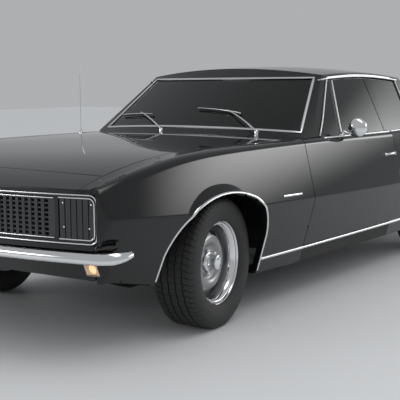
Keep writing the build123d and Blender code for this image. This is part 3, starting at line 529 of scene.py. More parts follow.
FLARE_END, FLARE_FADE = 0.9 * ARCH_HALF, 0.140


def arch_line(y, mid=ARCH_MID, half=ARCH_HALF, crown=ARCH_CROWN):
    """Height of the wheel opening's edge: three arcs, zero outside it."""
    rise = crown - ARCH_FOOT
    join = (0.64 * half, crown - 0.145 * rise)
    side = circle_of((half, ARCH_FOOT), (0.9 * half, ARCH_FOOT + 0.56 * rise), join)
    top = circle_of((-join[0], join[1]), (0, crown), join)
    d = np.abs(y - mid)
    x, z, radius = (np.where(d < join[0], a, b) for a, b in zip(top, side))
    return np.where(d <= half + 1e-9, z + np.sqrt(np.maximum(radius**2 - (d - x) ** 2, 0)), 0.0)


def flare_top(y):
    """Height of the line where the flared lip starts."""
    away = np.minimum(np.abs((y - FLARE_MID) / FLARE_WIDE), 1)
    return FLARE_LOW + (FLARE_HIGH - FLARE_LOW) * (1 - away**2.3)


def flare_foot(y):
    return np.maximum(arch_line(y) + EDGE, FLARE_LOW - 0.02)


def car_flare(x, y, z):
    """The body with its front wheel lip drawn out below the flare's top line."""
    top, foot = flare_top(y), flare_foot(y)
    share = np.clip((top - z) / np.maximum(top - foot, 0.004), 0, 1)
    fade = np.clip((FLARE_END - np.abs(y - ARCH_MID)) / FLARE_FADE, 0, 1)
    fade = fade**2 * (3 - 2 * fade)
    return whole_body(x, y, z) - FLARE * share * fade * np.clip((top - foot) / 0.03, 0, 1)


def side_rows(y):
    """Heights of the side rows at each column, bottom to shoulder."""
    floor, _, _, crease_z, _, shoulder_z = section_at(y)[:6]
    rows = [np.full_like(y, z) for z in LOWER_ROWS]
    rows += [SHELF + (crease_z - 0.012 - SHELF) * f for f in (0.35, 0.7, 1.0)]
    rows += [crease_z + step for step in CREASE_STEPS]
    top = shoulder_z - FAN_DROP
    rows += [crease_z + 0.012 + (top - crease_z - 0.012) * (k / 12) for k in range(1, 13)]
    return np.stack(rows), floor


def side_grid(ys, low, form, inner=FENDER_IN, lean=None):
    """Columns of a side panel from its low edge over the shoulder to an inner edge."""
    zs, floor = side_rows(ys)
    zs = np.maximum(zs, np.maximum(low, floor + EDGE))
    place = lean(ys + 0 * zs, zs) if lean else ys + 0 * zs
    shoulder, shoulder_z = section_at(ys)[4:6]
    px, pz = shoulder - FAN, shoulder_z - FAN_DROP
    over_top = inner == FENDER_IN
    end = np.full_like(px, math.pi / 2) if over_top else np.arctan2(shoulder_z + 0.016 - pz, inner - px)
    turn = end * np.linspace(0, 1, 15)[1:, None]
    grid = [
        cast(form, xyz(SIDE_X, place, zs), OUT),
        cast(form, xyz(px, place[-1], pz), xyz(np.cos(turn), 0, np.sin(turn))),
    ]
    if over_top:
        grid.append(cast(form, xyz(px + (inner - px) * np.linspace(0, 1, 5)[1:, None], ys, pz), UP))
    return np.concatenate(grid)


def spaced(a, b, step):
    return np.linspace(a, b, max(int(round(abs(b - a) / step)), 1) + 1)


def rounded(mid, half, count):
    return mid - half * np.cos(np.linspace(0, math.pi, count))


def fender_grids():
    """The fender's side, its corner ahead of the wheel and the fan over that corner's shoulder."""
    arch_edge = ARCH_HALF - EDGE
    arch = rounded(ARCH_MID, arch_edge, 61)
    grids = [
        side_grid(spaced(CORNER_Y, STEP_Y, 0.02), SHELF, whole_body),
        side_grid(spaced(STEP_Y, ARCH_MID - arch_edge, 0.025), 0.0, whole_body),
        side_grid(arch, arch_line(arch) + EDGE, whole_body),
        side_grid(spaced(ARCH_MID + arch_edge, DOOR_FRONT - GAP - EDGE, 0.025), 0.0, whole_body),
    ]
    shoulder, shoulder_z = section_at(CORNER_Y)[4:6]
    px, pz = shoulder - FAN, shoulder_z - FAN_DROP
    zs = side_rows(np.array([CORNER_Y]))[0]
    full = math.atan2(CORNER_Y - NOSE_PLAN[1][1], MOUTH_X + EDGE - px)
    turn = (math.pi / 2) * np.linspace(0, 1, 15)[:, None]
    for a, b, steps, low in ((0, full, 14, SHELF), (full, math.pi / 2, 3, MOUTH_TOP)):
        phi = np.linspace(a, b, steps + 1)
        wall = xyz(px, CORNER_Y, np.minimum(np.maximum(zs, low + EDGE), pz))
        wall = cast(whole_body, wall, xyz(np.cos(phi), -np.sin(phi), 0))
        ray = xyz(np.cos(turn) * np.cos(phi), -np.cos(turn) * np.sin(phi), np.sin(turn))[1:]
        grids.append(np.concatenate([wall, cast(whole_body, (px, CORNER_Y, pz), ray)]))
    top = xyz(np.linspace(px, FENDER_IN, 5), CORNER_Y, pz)
    grids.append(cast(whole_body, top, xyz(0, -np.cos(turn), np.sin(turn))))
    return grids


def low_corner_grids():
    """The fender's foot behind the bumper."""
    zs = np.array([z for z in LOWER_ROWS if z > 0.33])[:, None]
    phi = np.linspace(0, math.pi / 2, 15)
    return [cast(low_front, xyz(FENDER_IN, STEP_Y, zs), xyz(np.cos(phi), -np.sin(phi), 0))]


def flare_grids():
    """Sheet of the flared lip between its top line and the wheel opening."""
    ys = rounded(FLARE_MID, FLARE_WIDE - 0.001, 81)
    ys = ys[(flare_top(ys) > flare_foot(ys) + 0.0015) & (np.abs(ys - ARCH_MID) < FLARE_END)]
    z = flare_foot(ys) + (flare_top(ys) - flare_foot(ys)) * np.linspace(0, 1, 9)[:, None]
    return [cast(car_flare, xyz(SIDE_X, ys, z), OUT)]


def door_grids():
    def lean(y, z):
        share = np.clip((y - 0.3) / (DOOR_REAR - 0.3), 0, 1)
        return y - share * 0.006 * np.clip((z - 0.55) / 0.3, 0, 1)

    return [side_grid(spaced(DOOR_FRONT + EDGE, DOOR_REAR, 0.025), DOOR_LOW + EDGE, body_side, DOOR_IN, lean)]


# ---------------------------------------------------------------- hood, header, cowl, roof
HOOD_REAR = -0.596
COWL_FRONT, COWL_REAR, COWL_HALF = -0.591, -0.455, 0.806
ROOF_HALF = 0.642


def top_grid(half, front, rear, form, count):
    """Grid over a lid: columns in x, from the front line to the rear one, seen from above."""
    xs = np.linspace(-half, half, 61)
    share = np.linspace(0, 1, count)[:, None]
    return cast(form, xyz(xs, front(xs) * (1 - share) + rear(xs) * share, 0.60), UP, reach=0.9)


def arc_line(mid_y, side_y, half):
    """Line across the car through (0, mid_y) and (half, side_y), as a function of x."""
    centre = circle_of((-half, side_y), (0, mid_y), (half, side_y))
    sign = math.copysign(1, mid_y - centre[1])
    return lambda x: centre[1] + sign * np.sqrt(centre[2] ** 2 - (np.asarray(x) - centre[0]) ** 2)


def straight(y):
    return lambda x: np.full_like(x, y)


def shifted(line, step):
    return lambda x: line(x) + step


HOOD_SEAM = arc_line(-2.150, -2.095, HOOD_HALF)
NOSE_LINE = arc_line(NOSE_PLAN[0][1], NOSE_PLAN[1][1], NOSE_PLAN[1][0])


def hood_skin():
    grid = top_grid(HOOD_HALF - EDGE, shifted(HOOD_SEAM, EDGE), straight(HOOD_REAR - EDGE), whole_body, 60)
    skin("hood_skin", "hood", [grid], whole_body)


def header_skin():
    roll = 0.005
    front, rear = shifted(NOSE_LINE, roll - SKIN), shifted(HOOD_SEAM, -GAP - EDGE)
    grid = top_grid(HOOD_HALF - 0.0005, front, rear, body_side, 12)

    def drop(p, m, depth):
        return p[2] - roll - MOUTH_TOP if m[1] < -0.6 else depth

    skin("header_skin", "root", [grid], body_side, roll=roll, drop=drop)


def cowl_skin():
    grid = top_grid(COWL_HALF, straight(COWL_FRONT + EDGE), straight(COWL_REAR), body_side, 8)
    skin("cowl_skin", "root", [grid], body_side)


def roof_skin():
    def meets(x, pane, *ys):
        """Where the roof's arc at x meets a window's cylinder, between two places."""
        start = (np.full_like(x, y) for y in ys)
        near, far = halved(*start, lambda y: raked_side(x, y, roof_height(x, y, 0), *pane) >= 0, 30)
        return (near + far) / 2

    def roof_form(x, y, z):
        return z - roof_height(x, y, 0.01)

    roll = 0.006
    xs = ROOF_HALF * np.sin(np.linspace(-math.pi / 2, math.pi / 2, 61))
    share = np.linspace(0, 1, 70)[:, None]
    front, rear = meets(xs, SCREEN, -0.25, 0.3), meets(xs, BACKLIGHT, 1.35, 0.8)
    y = front * (1 - share) + rear * share + roll * (1 - 2 * share)
    x = (xs / ROOF_HALF) * (house_at(y)[1] - roll + 0.001)
    grid = cast(roof_form, xyz(x, y, 1.0), UP)
    skin("roof_skin", "root", [grid], roof_form, roll=roll, depth=0.018)


for side, turn in (("left", list), ("right", flipped)):
    skin("fender_skin_" + side, "root", turn(fender_grids()), whole_body, depth=0.018)
    skin("fender_foot_" + side, "root", turn(low_corner_grids()), low_front)
    skin("fender_flare_" + side, "root", turn(flare_grids()), car_flare, roll=0.001, depth=0.020)
    skin("door_skin_" + side, "door_" + side, turn(door_grids()), body_side)
for build in (hood_skin, header_skin, cowl_skin, roof_skin):
    build()


# ---------------------------------------------------------------- shapes
class Piece:
    """Points and faces gathered for one mesh of several materials."""

    def __init__(self):
        self.verts, self.faces, self.slots = [], [], []

    def grid(self, g, slot=0, around=False):
        """A sheet through a grid of points; around joins its last column to its first."""
        rows, cols = g.shape[:2]
        start = sum(len(v) for v in self.verts)
        self.verts.append(g.reshape(-1, 3))
        for i in range(rows - 1):
            for j in range(cols if around else cols - 1):
                a, b = start + i * cols + j, start + i * cols + (j + 1) % cols
                self.faces.append((a, b, b + cols, a + cols))
                self.slots.append(slot)

    def fan(self, ring, slot=0):
        start = sum(len(v) for v in self.verts)
        self.verts.append(np.asarray(ring))
        self.faces.append(tuple(range(start, start + len(ring))))
        self.slots.append(slot)

    def lathe(self, profile, place, count=96, slot=0):
        """Rows of (along the axis, radius) turned about the place's x axis."""
        turn = np.linspace(0, 2 * math.pi, count, endpoint=False)
        a, r = np.array(profile).T[:, :, None]
        self.grid(moved(xyz(a, r * np.cos(turn), r * np.sin(turn)), place), slot, around=True)

    def sweep(self, rings, slot=0, closed=False):
        """Closed rings of points joined into a tube, its ends filled unless it closes on itself."""
        rings = np.asarray(rings)
        if closed:
            rings = np.concatenate([rings, rings[:1]])
        self.grid(rings, slot, around=True)
        if not closed:
            self.fan(rings[0][::-1], slot)
            self.fan(rings[-1], slot)

    def box(self, x0, x1, y0, y1, z0, z1, place=None, slot=0):
        x0, x1 = sorted((x0, x1))
        rings = np.array([[(x0, y0, z), (x1, y0, z), (x1, y1, z), (x0, y1, z)] for z in (z0, z1)])
        self.sweep(rings if place is None else moved(rings, place), slot)

    def make(self, name, materials, body, angle=35, bevel=0.0):
        """The gathered mesh, smooth but for its sharp edges, riding on a body."""
        mesh = bpy.data.meshes.new(name)
        mesh.from_pydata(np.concatenate(self.verts).tolist(), [], self.faces)
        for material in materials:
            mesh.materials.append(material)
        mesh.polygons.foreach_set("material_index", self.slots)
        shaped = bmesh.new()
        shaped.from_mesh(mesh)
        bmesh.ops.remove_doubles(shaped, verts=shaped.verts, dist=1e-6)
        bmesh.ops.recalc_face_normals(shaped, faces=shaped.faces)
        shaped.to_mesh(mesh)
        shaped.free()
        mesh.polygons.foreach_set("use_smooth", [True] * len(mesh.polygons))
        mesh.set_sharp_from_angle(angle=math.radians(angle))
        piece = placed(name, mesh)
        if bevel:
            edge = piece.modifiers.new("edge", "BEVEL")
            edge.width, edge.segments, edge.limit_method = bevel, 2, "ANGLE"
            edge.harden_normals = False
        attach(piece, body)
        return piece


def moved(points, place):
    m = np.array(place)
    return points @ m[:3, :3].T + m[:3, 3]


def along(points, closed=False):
    """Unit directions of a path at its points."""
    if closed:
        return unit(np.roll(points, -1, 0) - np.roll(points, 1, 0))
    return unit(np.gradient(points, axis=0))


def strip(piece, points, normals, half, height, slot=0, closed=False, count=9, sink=0.001):
    """Half-round bright moulding laid on a surface along a path, its back sunk in a little."""
    side = unit(np.cross(normals, along(points, closed)))
    turn = np.linspace(0, math.pi, count)
    ring = [points + side * half * math.cos(t) + normals * (height * math.sin(t) ** 0.7) for t in turn]
    ring += [points + side * half * way - normals * sink for way in (-1, 1)]
    piece.sweep(np.stack(ring, 1), slot, closed)


def tube(piece, points, radius, slot=0, count=12, up=UP):
    """Round bar along a path; radius is one value or one for each point."""
    points = np.asarray(points, float)
    way = along(points)
    side = unit(np.cross(way, np.array(up, float)))
    over = np.cross(side, way)
    r = np.broadcast_to(radius, len(points))[:, None]
    turn = np.linspace(0, 2 * math.pi, count, endpoint=False)
    ring = [points + r * (side * math.cos(t) + over * math.sin(t)) for t in turn]
    piece.sweep(np.stack(ring, 1), slot)


def post(piece, spot, rows, count=12):
    """Upright turned post at a spot in x and y, from rows of height and radius."""
    z, radius = np.array(rows).T
    tube(piece, xyz(*spot, z), radius, count=count, up=(0, 1, 0))


def bent(points, count):
    """Smooth path through a few points."""
    points = np.asarray(points, float)
    ext = np.concatenate([2 * points[:1] - points[1:2], points, 2 * points[-1:] - points[-2:-1]])
    t = np.linspace(0, 1, count, endpoint=False)[:, None]
    out = []
    for p0, p1, p2, p3 in zip(ext, ext[1:], ext[2:], ext[3:]):
        bow = (2 * p0 - 5 * p1 + 4 * p2 - p3) * t**2 + (3 * p1 - p0 - 3 * p2 + p3) * t**3
        out.append(0.5 * (2 * p1 + (p2 - p0) * t + bow))
    return np.concatenate(out + [points[-1:]])


def border(rows, cols):
    """Row and column of each point round the edge of a grid with so many steps."""
    edge = [(i, 0) for i in range(rows)] + [(rows, j) for j in range(cols)]
    return np.array(edge + [(rows - i, cols - j) for i, j in edge]).T


# ---------------------------------------------------------------- wheels
TYRE_R = 0.3255
PITCHES = 64
GROOVES = (-0.056, -0.019, 0.019, 0.056)
GROOVE_HALF, GROOVE_WALL, GROOVE_DEEP = 0.0042, 0.001, 0.0075
SIPE = np.array((0.0, 0.40, 0.43, 0.53, 0.56))
SIPE_CUT = (0, 0, 1, 1, 0)
TREAD_EDGE, SHOULDER = 0.0885, 0.06
# axial place and radius of the side wall, from the bead to the tread
SIDE_WALL = (
    (0.0890, 0.2050), (0.0970, 0.2110), (0.1065, 0.2320), (0.1115, 0.2560),
    (0.1120, 0.2720), (0.1095, 0.2900), (0.1050, 0.3040), (0.0985, 0.3145), (0.0940, 0.3190),
)
WHEEL_BODIES = ("wheel_front_left", "wheel_front_right", "wheel_rear_left", "wheel_rear_right")


def place_along(x, centre):
    """Matrix whose x axis points along x, with its y axis level."""
    x = Vector(x).normalized()
    y = Vector(UP).cross(x).normalized()
    place = Matrix((x, y, x.cross(y))).transposed().to_4x4()
    place.translation = centre
    return place


def wheel_place(body):
    """Matrix whose x axis points out of the car along the wheel's own axle."""
    joint = next(j for j in frame["joints"] if j["child"] == body)
    centre, axis = Vector(joint["pos_m"]), Vector(joint["axis"])
    return place_along(axis if centre.x > 0 else -axis, centre)


def tread_rows():
    """Rows of axial place, radius, groove centre if any, and depth of the sipes there."""
    wall = [(a, r, 0.0, 0.004 * (r > 0.300)) for a, r in bent(SIDE_WALL, 3)]
    bottom = GROOVE_HALF - GROOVE_WALL
    marks = [(TREAD_EDGE, 0.0, 0)]
    for c in reversed(GROOVES):
        marks += [(c + GROOVE_HALF, c, 0), (c + bottom, c, 1), (c - bottom, c, 1), (c - GROOVE_HALF, c, 0)]
    marks.append((-TREAD_EDGE, 0.0, 0))
    tread = []
    for a, groove, low in marks:
        crown = TYRE_R - 0.004 * (a / 0.09) ** 2
        cut = 0.0045 if abs(a) > SHOULDER else 0.0 if low else 0.002
        tread.append((a, crown - GROOVE_DEEP * low, groove, cut))
    return np.array(wall + tread + [(-a, r, 0.0, cut) for a, r, _, cut in wall[::-1]])


def tyre(body):
    a, r, groove, depth = tread_rows().T[:, :, None]
    pitch = 2 * math.pi / PITCHES
    turn = np.concatenate([(k + SIPE) * pitch for k in range(PITCHES)])
    zigzag = 0.0022 * (2 * np.abs((turn / pitch) % 2 - 1) - 1)
    slant = 0.35 * pitch * np.clip((np.abs(a) - SHOULDER) / 0.04, 0, 1)
    angle = turn + slant * np.sign(a)
    radius = r - depth * np.tile(SIPE_CUT, PITCHES)
    g = xyz(a + zigzag * (groove != 0), radius * np.cos(angle), radius * np.sin(angle))
    piece = Piece()
    piece.grid(moved(g, wheel_place(body)), around=True)
    made = piece.make(body.replace("wheel_", "tyre_") + "_tread", [RUBBER], body, angle=28)
    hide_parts(body.replace("wheel_", "tyre_"))


# axial place and radius of the trim ring, the barrel, the cap and the lug nuts
RING_PROFILE = (
    (0.050, 0.1760), (0.058, 0.1775), (0.066, 0.1815), (0.072, 0.1860), (0.0765, 0.1905), (0.0790, 0.1935),
    (0.0790, 0.1955), (0.0770, 0.1968), (0.0770, 0.1980),
    (0.0800, 0.1992), (0.0845, 0.2008), (0.0875, 0.2030),
    (0.0890, 0.2052), (0.0885, 0.2072), (0.0860, 0.2085),
)
BARREL_PROFILE = (
    (0.0860, 0.2085), (0.080, 0.198), (0.055, 0.186), (-0.055, 0.184), (-0.080, 0.198), (-0.0885, 0.2045),
    (-0.0885, 0.2000), (-0.084, 0.186), (-0.070, 0.181), (0.010, 0.1785), (0.050, 0.1785), (0.052, 0.1800),
)
CAP_PROFILE = (
    (0.0260, 0.0520), (0.0300, 0.0520), (0.0335, 0.0495),
    (0.0350, 0.0430), (0.0390, 0.0390), (0.0580, 0.0372),
    (0.0740, 0.0352), (0.0760, 0.0366), (0.0805, 0.0366),
    (0.0825, 0.0345), (0.0830, 0.0290), (0.0862, 0.0200),
    (0.0878, 0.0080), (0.0880, 0.0002),
)
NUT_PROFILE = ((0.024, 0.0115), (0.036, 0.0115), (0.0375, 0.010))
NUT_TIP = ((0.0365, 0.0095), (0.0395, 0.0090), (0.0425, 0.0060), (0.0435, 0.0002))
# radius and axial place of the wheel's pressed disc
DISC = (
    (0.030, 0.0245), (0.074, 0.0245), (0.084, 0.031), (0.100, 0.041), (0.116, 0.043), (0.136, 0.036),
    (0.158, 0.020), (0.1785, 0.008),
)
SPOKES = 5
SLOT_MID, SLOT_HALF_R, SLOT_HALF_T = 0.146, 0.0125, 0.034
SECTOR_IN, SECTOR_OUT = 0.112, 0.172
ARC_STEPS, SIDE_STEPS = 20, 8
LUG_R = 0.0603


def disc_point(r, angle):
    path = bent(DISC, 6)
    return xyz(np.interp(r, path[:, 0], path[:, 1]), r * np.cos(angle), r * np.sin(angle))


def slotted_disc(piece, place):
    """Pressed disc with a rounded slot in each sector."""
    half = math.pi / SPOKES
    angle = np.linspace(0, 2 * math.pi, ARC_STEPS * SPOKES, endpoint=False)
    for r0, r1, steps in ((DISC[0][0], SECTOR_IN, 14), (SECTOR_OUT, DISC[-1][0], 2)):
        r = np.linspace(r0, r1, steps)[:, None]
        piece.grid(moved(disc_point(r, angle - half), place), around=True)
    u, v = 2 * border(ARC_STEPS, SIDE_STEPS) / [[ARC_STEPS], [SIDE_STEPS]] - 1
    size = (np.abs(u) ** 5 + np.abs(v) ** 5) ** 0.2
    mid, reach = (SECTOR_IN + SECTOR_OUT) / 2, (SECTOR_OUT - SECTOR_IN) / 2
    for k in range(SPOKES):
        rings = []
        for share in np.linspace(0, 1, 6):
            t = u * half * (1 - share) + u / size * SLOT_HALF_T / SLOT_MID * share
            r = (mid + v * reach) * (1 - share) + (SLOT_MID + v / size * SLOT_HALF_R) * share
            rings.append(disc_point(r, t + 2 * half * k))
        rings.append(rings[-1] - (0.002, 0, 0))
        rings.append(rings[-2] - (0.009, 0, 0))
        piece.grid(moved(np.stack(rings), place), around=True)


def wheel(body):
    place = wheel_place(body)
    piece = Piece()
    slotted_disc(piece, place)
    piece.lathe(BARREL_PROFILE, place)
    piece.lathe(RING_PROFILE, place, slot=1)
    piece.lathe(CAP_PROFILE, place, count=64, slot=1)
    for k in range(SPOKES):
        angle = 2 * math.pi * (k + 0.5) / SPOKES
        nut = place @ Matrix.Translation((0, LUG_R * math.cos(angle), LUG_R * math.sin(angle)))
        piece.lathe(NUT_PROFILE, nut, count=6, slot=1)
        piece.lathe(NUT_TIP, nut, count=18, slot=1)
    made = piece.make(body + "_pressed", [WHEEL_GREY, CHROME], body, angle=40)
    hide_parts(body)


for body in WHEEL_BODIES:
    tyre(body)
    wheel(body)

# ---------------------------------------------------------------- mouldings
LIP_INSET = 0.005
REAR_ARCH_MID, REAR_ARCH_HALF, REAR_ARCH_CROWN = 1.330, 0.374, 0.660
# lowest points of the arch lips' front and rear feet
FRONT_LIP_LOW, REAR_LIP_LOW = (0.300, 0.225), (0.225, 0.280)
ROCKER_Z, ROCKER_Y = 0.286, (-1.020, 0.944)
BELT_X = 0.838
# y and z along the side windows
WINDOW_FRONT = ((-0.366, 0.893), (-0.240, 0.995), (-0.110, 1.115), (0.012, 1.230))
WINDOW_TOP = ((0.012, 1.230), (0.180, 1.238), (0.350, 1.244), (0.600, 1.241), (0.850, 1.227), (0.972, 1.211))
WINDOW_REAR = ((0.976, 1.207), (0.950, 1.050), (0.922, 0.892))
VENT_POST = ((-0.092, 0.893), (-0.010, 1.062), (0.062, 1.212))
# x and z of the corners and the lower edge's middle of the front and rear windows, in millimetres
SCREEN_HOLE = ((-735, 916), (0, 938), (735, 916), (610, 1226), (-610, 1226))
BACK_HOLE = ((-612, 962), (0, 950), (612, 962), (556, 1212), (-556, 1212))
BADGE_Y, BADGE_Z = (-0.920, -0.733), (0.611, 0.606)
HANDLE_Y, HANDLE_Z = (0.348, 0.473), 0.742


def facing(points, normals, sign):
    turn = np.array([sign, 1, 1])
    return points * turn, normals * turn


def laid(form, origin, ray, sign):
    """Points and normals where rays meet a form, mirrored where sign is -1."""
    points = cast(form, origin, ray)
    return facing(points, normals_of(form, points), sign)


def side_path(form, ys, zs, sign):
    """Points and normals on the car's side at the given places."""
    return laid(form, xyz(0.45, ys, zs), OUT, sign)


def arch_path(mid, half, crown, low):
    """Edge of a wheel opening in y and z with its straight feet, moved out by the lip's inset."""
    ys = rounded(mid, half, 49)
    line = np.stack([ys, arch_line(ys, mid, half, crown)], 1)
    line[0, 1] = line[-1, 1] = ARCH_FOOT
    feet = [
        np.stack([np.full(5, mid + side), np.linspace(foot, ARCH_FOOT, 6)[:-1]], 1)
        for side, foot in zip((-half, half), low)
    ]
    path = np.concatenate([feet[0], line, feet[1][::-1]])
    way = along(path)
    return path + np.stack([-way[:, 1], way[:, 0]], 1) * LIP_INSET


def panel_hits(node, origins, ray):
    """Points and normals where rays meet a CAD node's faces."""
    source, ray = NODES[node], Vector(ray)
    verts = [source.matrix_world @ v.co for v in source.data.vertices]
    tree = BVHTree.FromPolygons(verts, [p.vertices for p in source.data.polygons])
    hits = [tree.ray_cast(Vector(o), ray) for o in origins]
    return np.array([h[0] for h in hits]), np.array([h[1] if h[1].dot(ray) < 0 else -h[1] for h in hits])


def lip_form(x, y, z):
    """The body as seen at the wheel lip, flared or not."""
    flared = np.where(np.abs(y - FLARE_MID) < FLARE_WIDE, car_flare(x, y, z), 1.0)
    return np.minimum(whole_body(x, y, z), flared)


def arch_lip(piece, sign):
    path = arch_path(ARCH_MID, ARCH_HALF, ARCH_CROWN, FRONT_LIP_LOW)
    strip(piece, *side_path(lip_form, *path.T, sign), 0.0065, 0.0045)
    path = arch_path(REAR_ARCH_MID, REAR_ARCH_HALF, REAR_ARCH_CROWN, REAR_LIP_LOW)
    points, normals = panel_hits("quarter_panels", [(1.2, y, z) for y, z in path], (-1, 0, 0))
    strip(piece, *facing(points, unit(normals + (0.5, 0, 0)), sign), 0.0065, 0.0055)


def rocker_trim(piece, sign):
    points, normals = side_path(body_side, spaced(*ROCKER_Y, 0.06), ROCKER_Z, sign)
    strip(piece, points, unit(normals * (1, 1, 0)), 0.0075, 0.0065)


def belt(piece, sign, y0, y1):
    strip(piece, *laid(body_side, xyz(BELT_X, spaced(y0, y1, 0.06), 0.70), UP, sign), 0.0055, 0.0060)


def house_path(path, sign):
    """Points and normals on the greenhouse side at y and z, smoothly filled in."""
    return side_path(house_side, *bent(path, 6).T, sign)


def drip_rail(piece, sign):
    ys = spaced(-0.085, 1.000, 0.05)
    _, rail, rail_z, _ = house_at(ys)
    path = laid(house_side, xyz(rail - 0.05, ys, rail_z - 0.055), unit(np.array([1, 0, 0.55])), sign)
    strip(piece, *path, 0.0050, 0.0070)


def window_frame(piece, sign):
    for path in (WINDOW_FRONT, WINDOW_TOP, WINDOW_REAR):
        strip(piece, *house_path(path, sign), 0.0045, 0.0035)


def vent_post(piece, sign):
    """Post between the vent pane and the main side glass."""
    points, normals = house_path(VENT_POST, sign)
    strip(piece, points - normals * 0.004, normals, 0.0060, 0.0040, sink=0.006)


def pane_path(outline, pane, ends):
    """Points and normals along a window's outline on its raked cylinder."""
    left, mid, right, top_right, top_left = np.array(outline) * MM
    xs = np.linspace(left[0], right[0], 25)
    bow = arc_height(xs, right[0], 0.0, abs(mid[1] - right[1])) * np.sign(mid[1] - right[1])
    share = np.linspace(0, 1, 13)[1:, None]
    x, z = np.concatenate([
        np.stack([xs, right[1] + bow], 1), right + (top_right - right) * share,
        top_right + (top_left - top_right) * np.linspace(0, 1, 25)[1:, None],
        top_left + (left - top_left) * share[:-1],
    ]).T

    def form(x, y, z):
        return raked_side(x, y, z, *pane)

    start = (np.full(len(x), end) for end in ends)
    near, far = halved(*start, lambda y: form(x, y, z) >= 0, 40)
    points = xyz(x, (near + far) / 2, z)
    return points, normals_of(form, points)


def reveals():
    for name, outline, pane, ends in (
        ("windshield_reveal", SCREEN_HOLE, SCREEN, (-1.2, 0.4)),
        ("rear_reveal", BACK_HOLE, BACKLIGHT, (2.4, 0.6)),
    ):
        piece = Piece()
        points, normals = pane_path(outline, pane, ends)
        strip(piece, points + normals * MM, normals, 0.0085, 0.0050, closed=True)
        piece.make(name, [CHROME], "root")


def fender_bar(piece, sign):
    """Bare bright bar where the photo's fender carries a badge."""
    ys, zs = (np.linspace(*ends, 9) for ends in (BADGE_Y, BADGE_Z))
    strip(piece, *side_path(whole_body, ys, zs, sign), 0.0060, 0.0030)


def door_handle(piece, sign):
    """Pull handle on two feet with a push button."""
    points, normals = side_path(body_side, np.linspace(*HANDLE_Y, 13), HANDLE_Z, sign)
    rise = np.sin(np.linspace(0, math.pi, 13))[:, None] ** 0.5
    tube(piece, points + normals * (0.004 + 0.024 * rise), 0.0055 + 0.0025 * rise[:, 0])
    foot, button = ((-0.002, 0.012), 0.011), ((-0.002, 0.009, 0.011), (0.011, 0.011, 0.009))
    for y, (proud, radius) in (
        (HANDLE_Y[0] + 0.004, foot), (HANDLE_Y[1] - 0.004, foot), (HANDLE_Y[1] + 0.022, button),
    ):
        p, n = side_path(body_side, y, HANDLE_Z, sign)
        tube(piece, p + n * np.array(proud)[:, None], radius, up=(0, 1, 0.2))


# name, builder, body and the builder's own values
MOULDINGS = (
    ("arch_lips", arch_lip, "root"), ("rocker_moulding", rocker_trim, "root"),
    ("belt_moulding", belt, "door_SIDE", -0.352, 0.512), ("quarter_belt", belt, "root", 0.530, 0.930),
    ("drip_rail", drip_rail, "root"), ("window_frame", window_frame, "root"),
    ("vent_post", vent_post, "door_SIDE"), ("fender_bar", fender_bar, "root"),
    ("door_handle", door_handle, "door_SIDE"),
)
for name, build, body, *values in MOULDINGS:
    for side, sign in (("left", 1), ("right", -1)):
        piece = Piece()
        build(piece, sign, *values)
        made = piece.make(name + "_" + side, [CHROME], body.replace("SIDE", side))
reveals()


# ---------------------------------------------------------------- grille and lamp covers
FRAME_LOW, FRAME_HIGH, FRAME_END, FRAME_ROUND = 0.5315, 0.7415, 0.8030, 0.034
GRILLE_END, GRILLE_Z = 0.8057, (0.545, 0.729)
RIMS_Z = ((0.527, GRILLE_Z[0]), (GRILLE_Z[1], 0.7465))
INNER_LOW, INNER_HIGH = 0.5500, 0.7230
HOOK_LOW, HOOK_HIGH, HOOK_END, HOOK_ROUND = 0.5475, 0.7265, 0.7865, 0.026
DIVIDER_X = 0.592
CRATE_END = DIVIDER_X - 0.038
POSTS_X = ((DIVIDER_X, 0.610), (0.790, GRILLE_END))
COVER_X, COVER_Z, SLAT_Z = (0.6103, 0.7897), (0.5453, 0.7287), (0.5500, 0.7240)
CELL_X, CELL_Z = 0.035, 0.0205
CRATE_X, CRATE_Z = 0.0080, 0.0070
SLATS, SLAT_GAP, COVER_RIM = 6, 0.002, 0.004
FASTENERS = ((0.634, 0.704), (0.772, 0.700), (0.638, 0.600), (0.762, 0.598))
FASTENER_IN, FASTENER_R = (0.016, 0.0125, 0.0110), (0.0048, 0.0048, 0.0030)
# insets of each kind of bar's front and rear from the nose's curve
RIM_IN, POST_IN, SHADE_IN = (0.012, 0.034), (0.014, 0.034), (0.020, 0.026)
ROW_IN, COLUMN_IN = (0.0205, 0.033), (0.0185, 0.0335)
COVER_IN, SLAT_IN = (0.020, 0.032), (0.0145, 0.021)
# inset, half width and height of the bright mouldings
LOOP_BEAD, INNER_BEAD = (0.007, 0.0042, 0.0060), (0.0165, 0.0036, 0.0060)
HOOK_BEAD = (0.0135, 0.0036, 0.0050)


def arc_bar(piece, ends, heights, insets, slot=0, step=0.03):
    """Bar between two ends, two heights and two insets that follows the curved nose."""
    xs = spaced(*sorted(ends), step)
    (z0, z1), (in0, in1) = heights, insets
    ring = ((in0, z0), (in1, z0), (in1, z1), (in0, z1))
    piece.sweep(np.stack([xyz(xs, NOSE_LINE(xs) + inset, z) for inset, z in ring], 1), slot)


def nose_strip(piece, path, inset, half, height, closed=False):
    """Moulding along a path in x and z on the nose's curve."""
    x, z = np.asarray(path).T
    slope = (NOSE_LINE(x + 0.001) - NOSE_LINE(x - 0.001)) / 0.002
    strip(piece, xyz(x, NOSE_LINE(x) + inset, z), unit(xyz(slope, -1, 0)), half, height, closed=closed)


def corner_arc(cx, cz, r, start, stop):
    turn = np.radians(np.linspace(start, stop, 9))
    return np.stack([cx + r * np.cos(turn), cz + r * np.sin(turn)], 1)


def level(x0, x1, z, count):
    return np.stack([np.linspace(x0, x1, count), np.full(count, z)], 1)


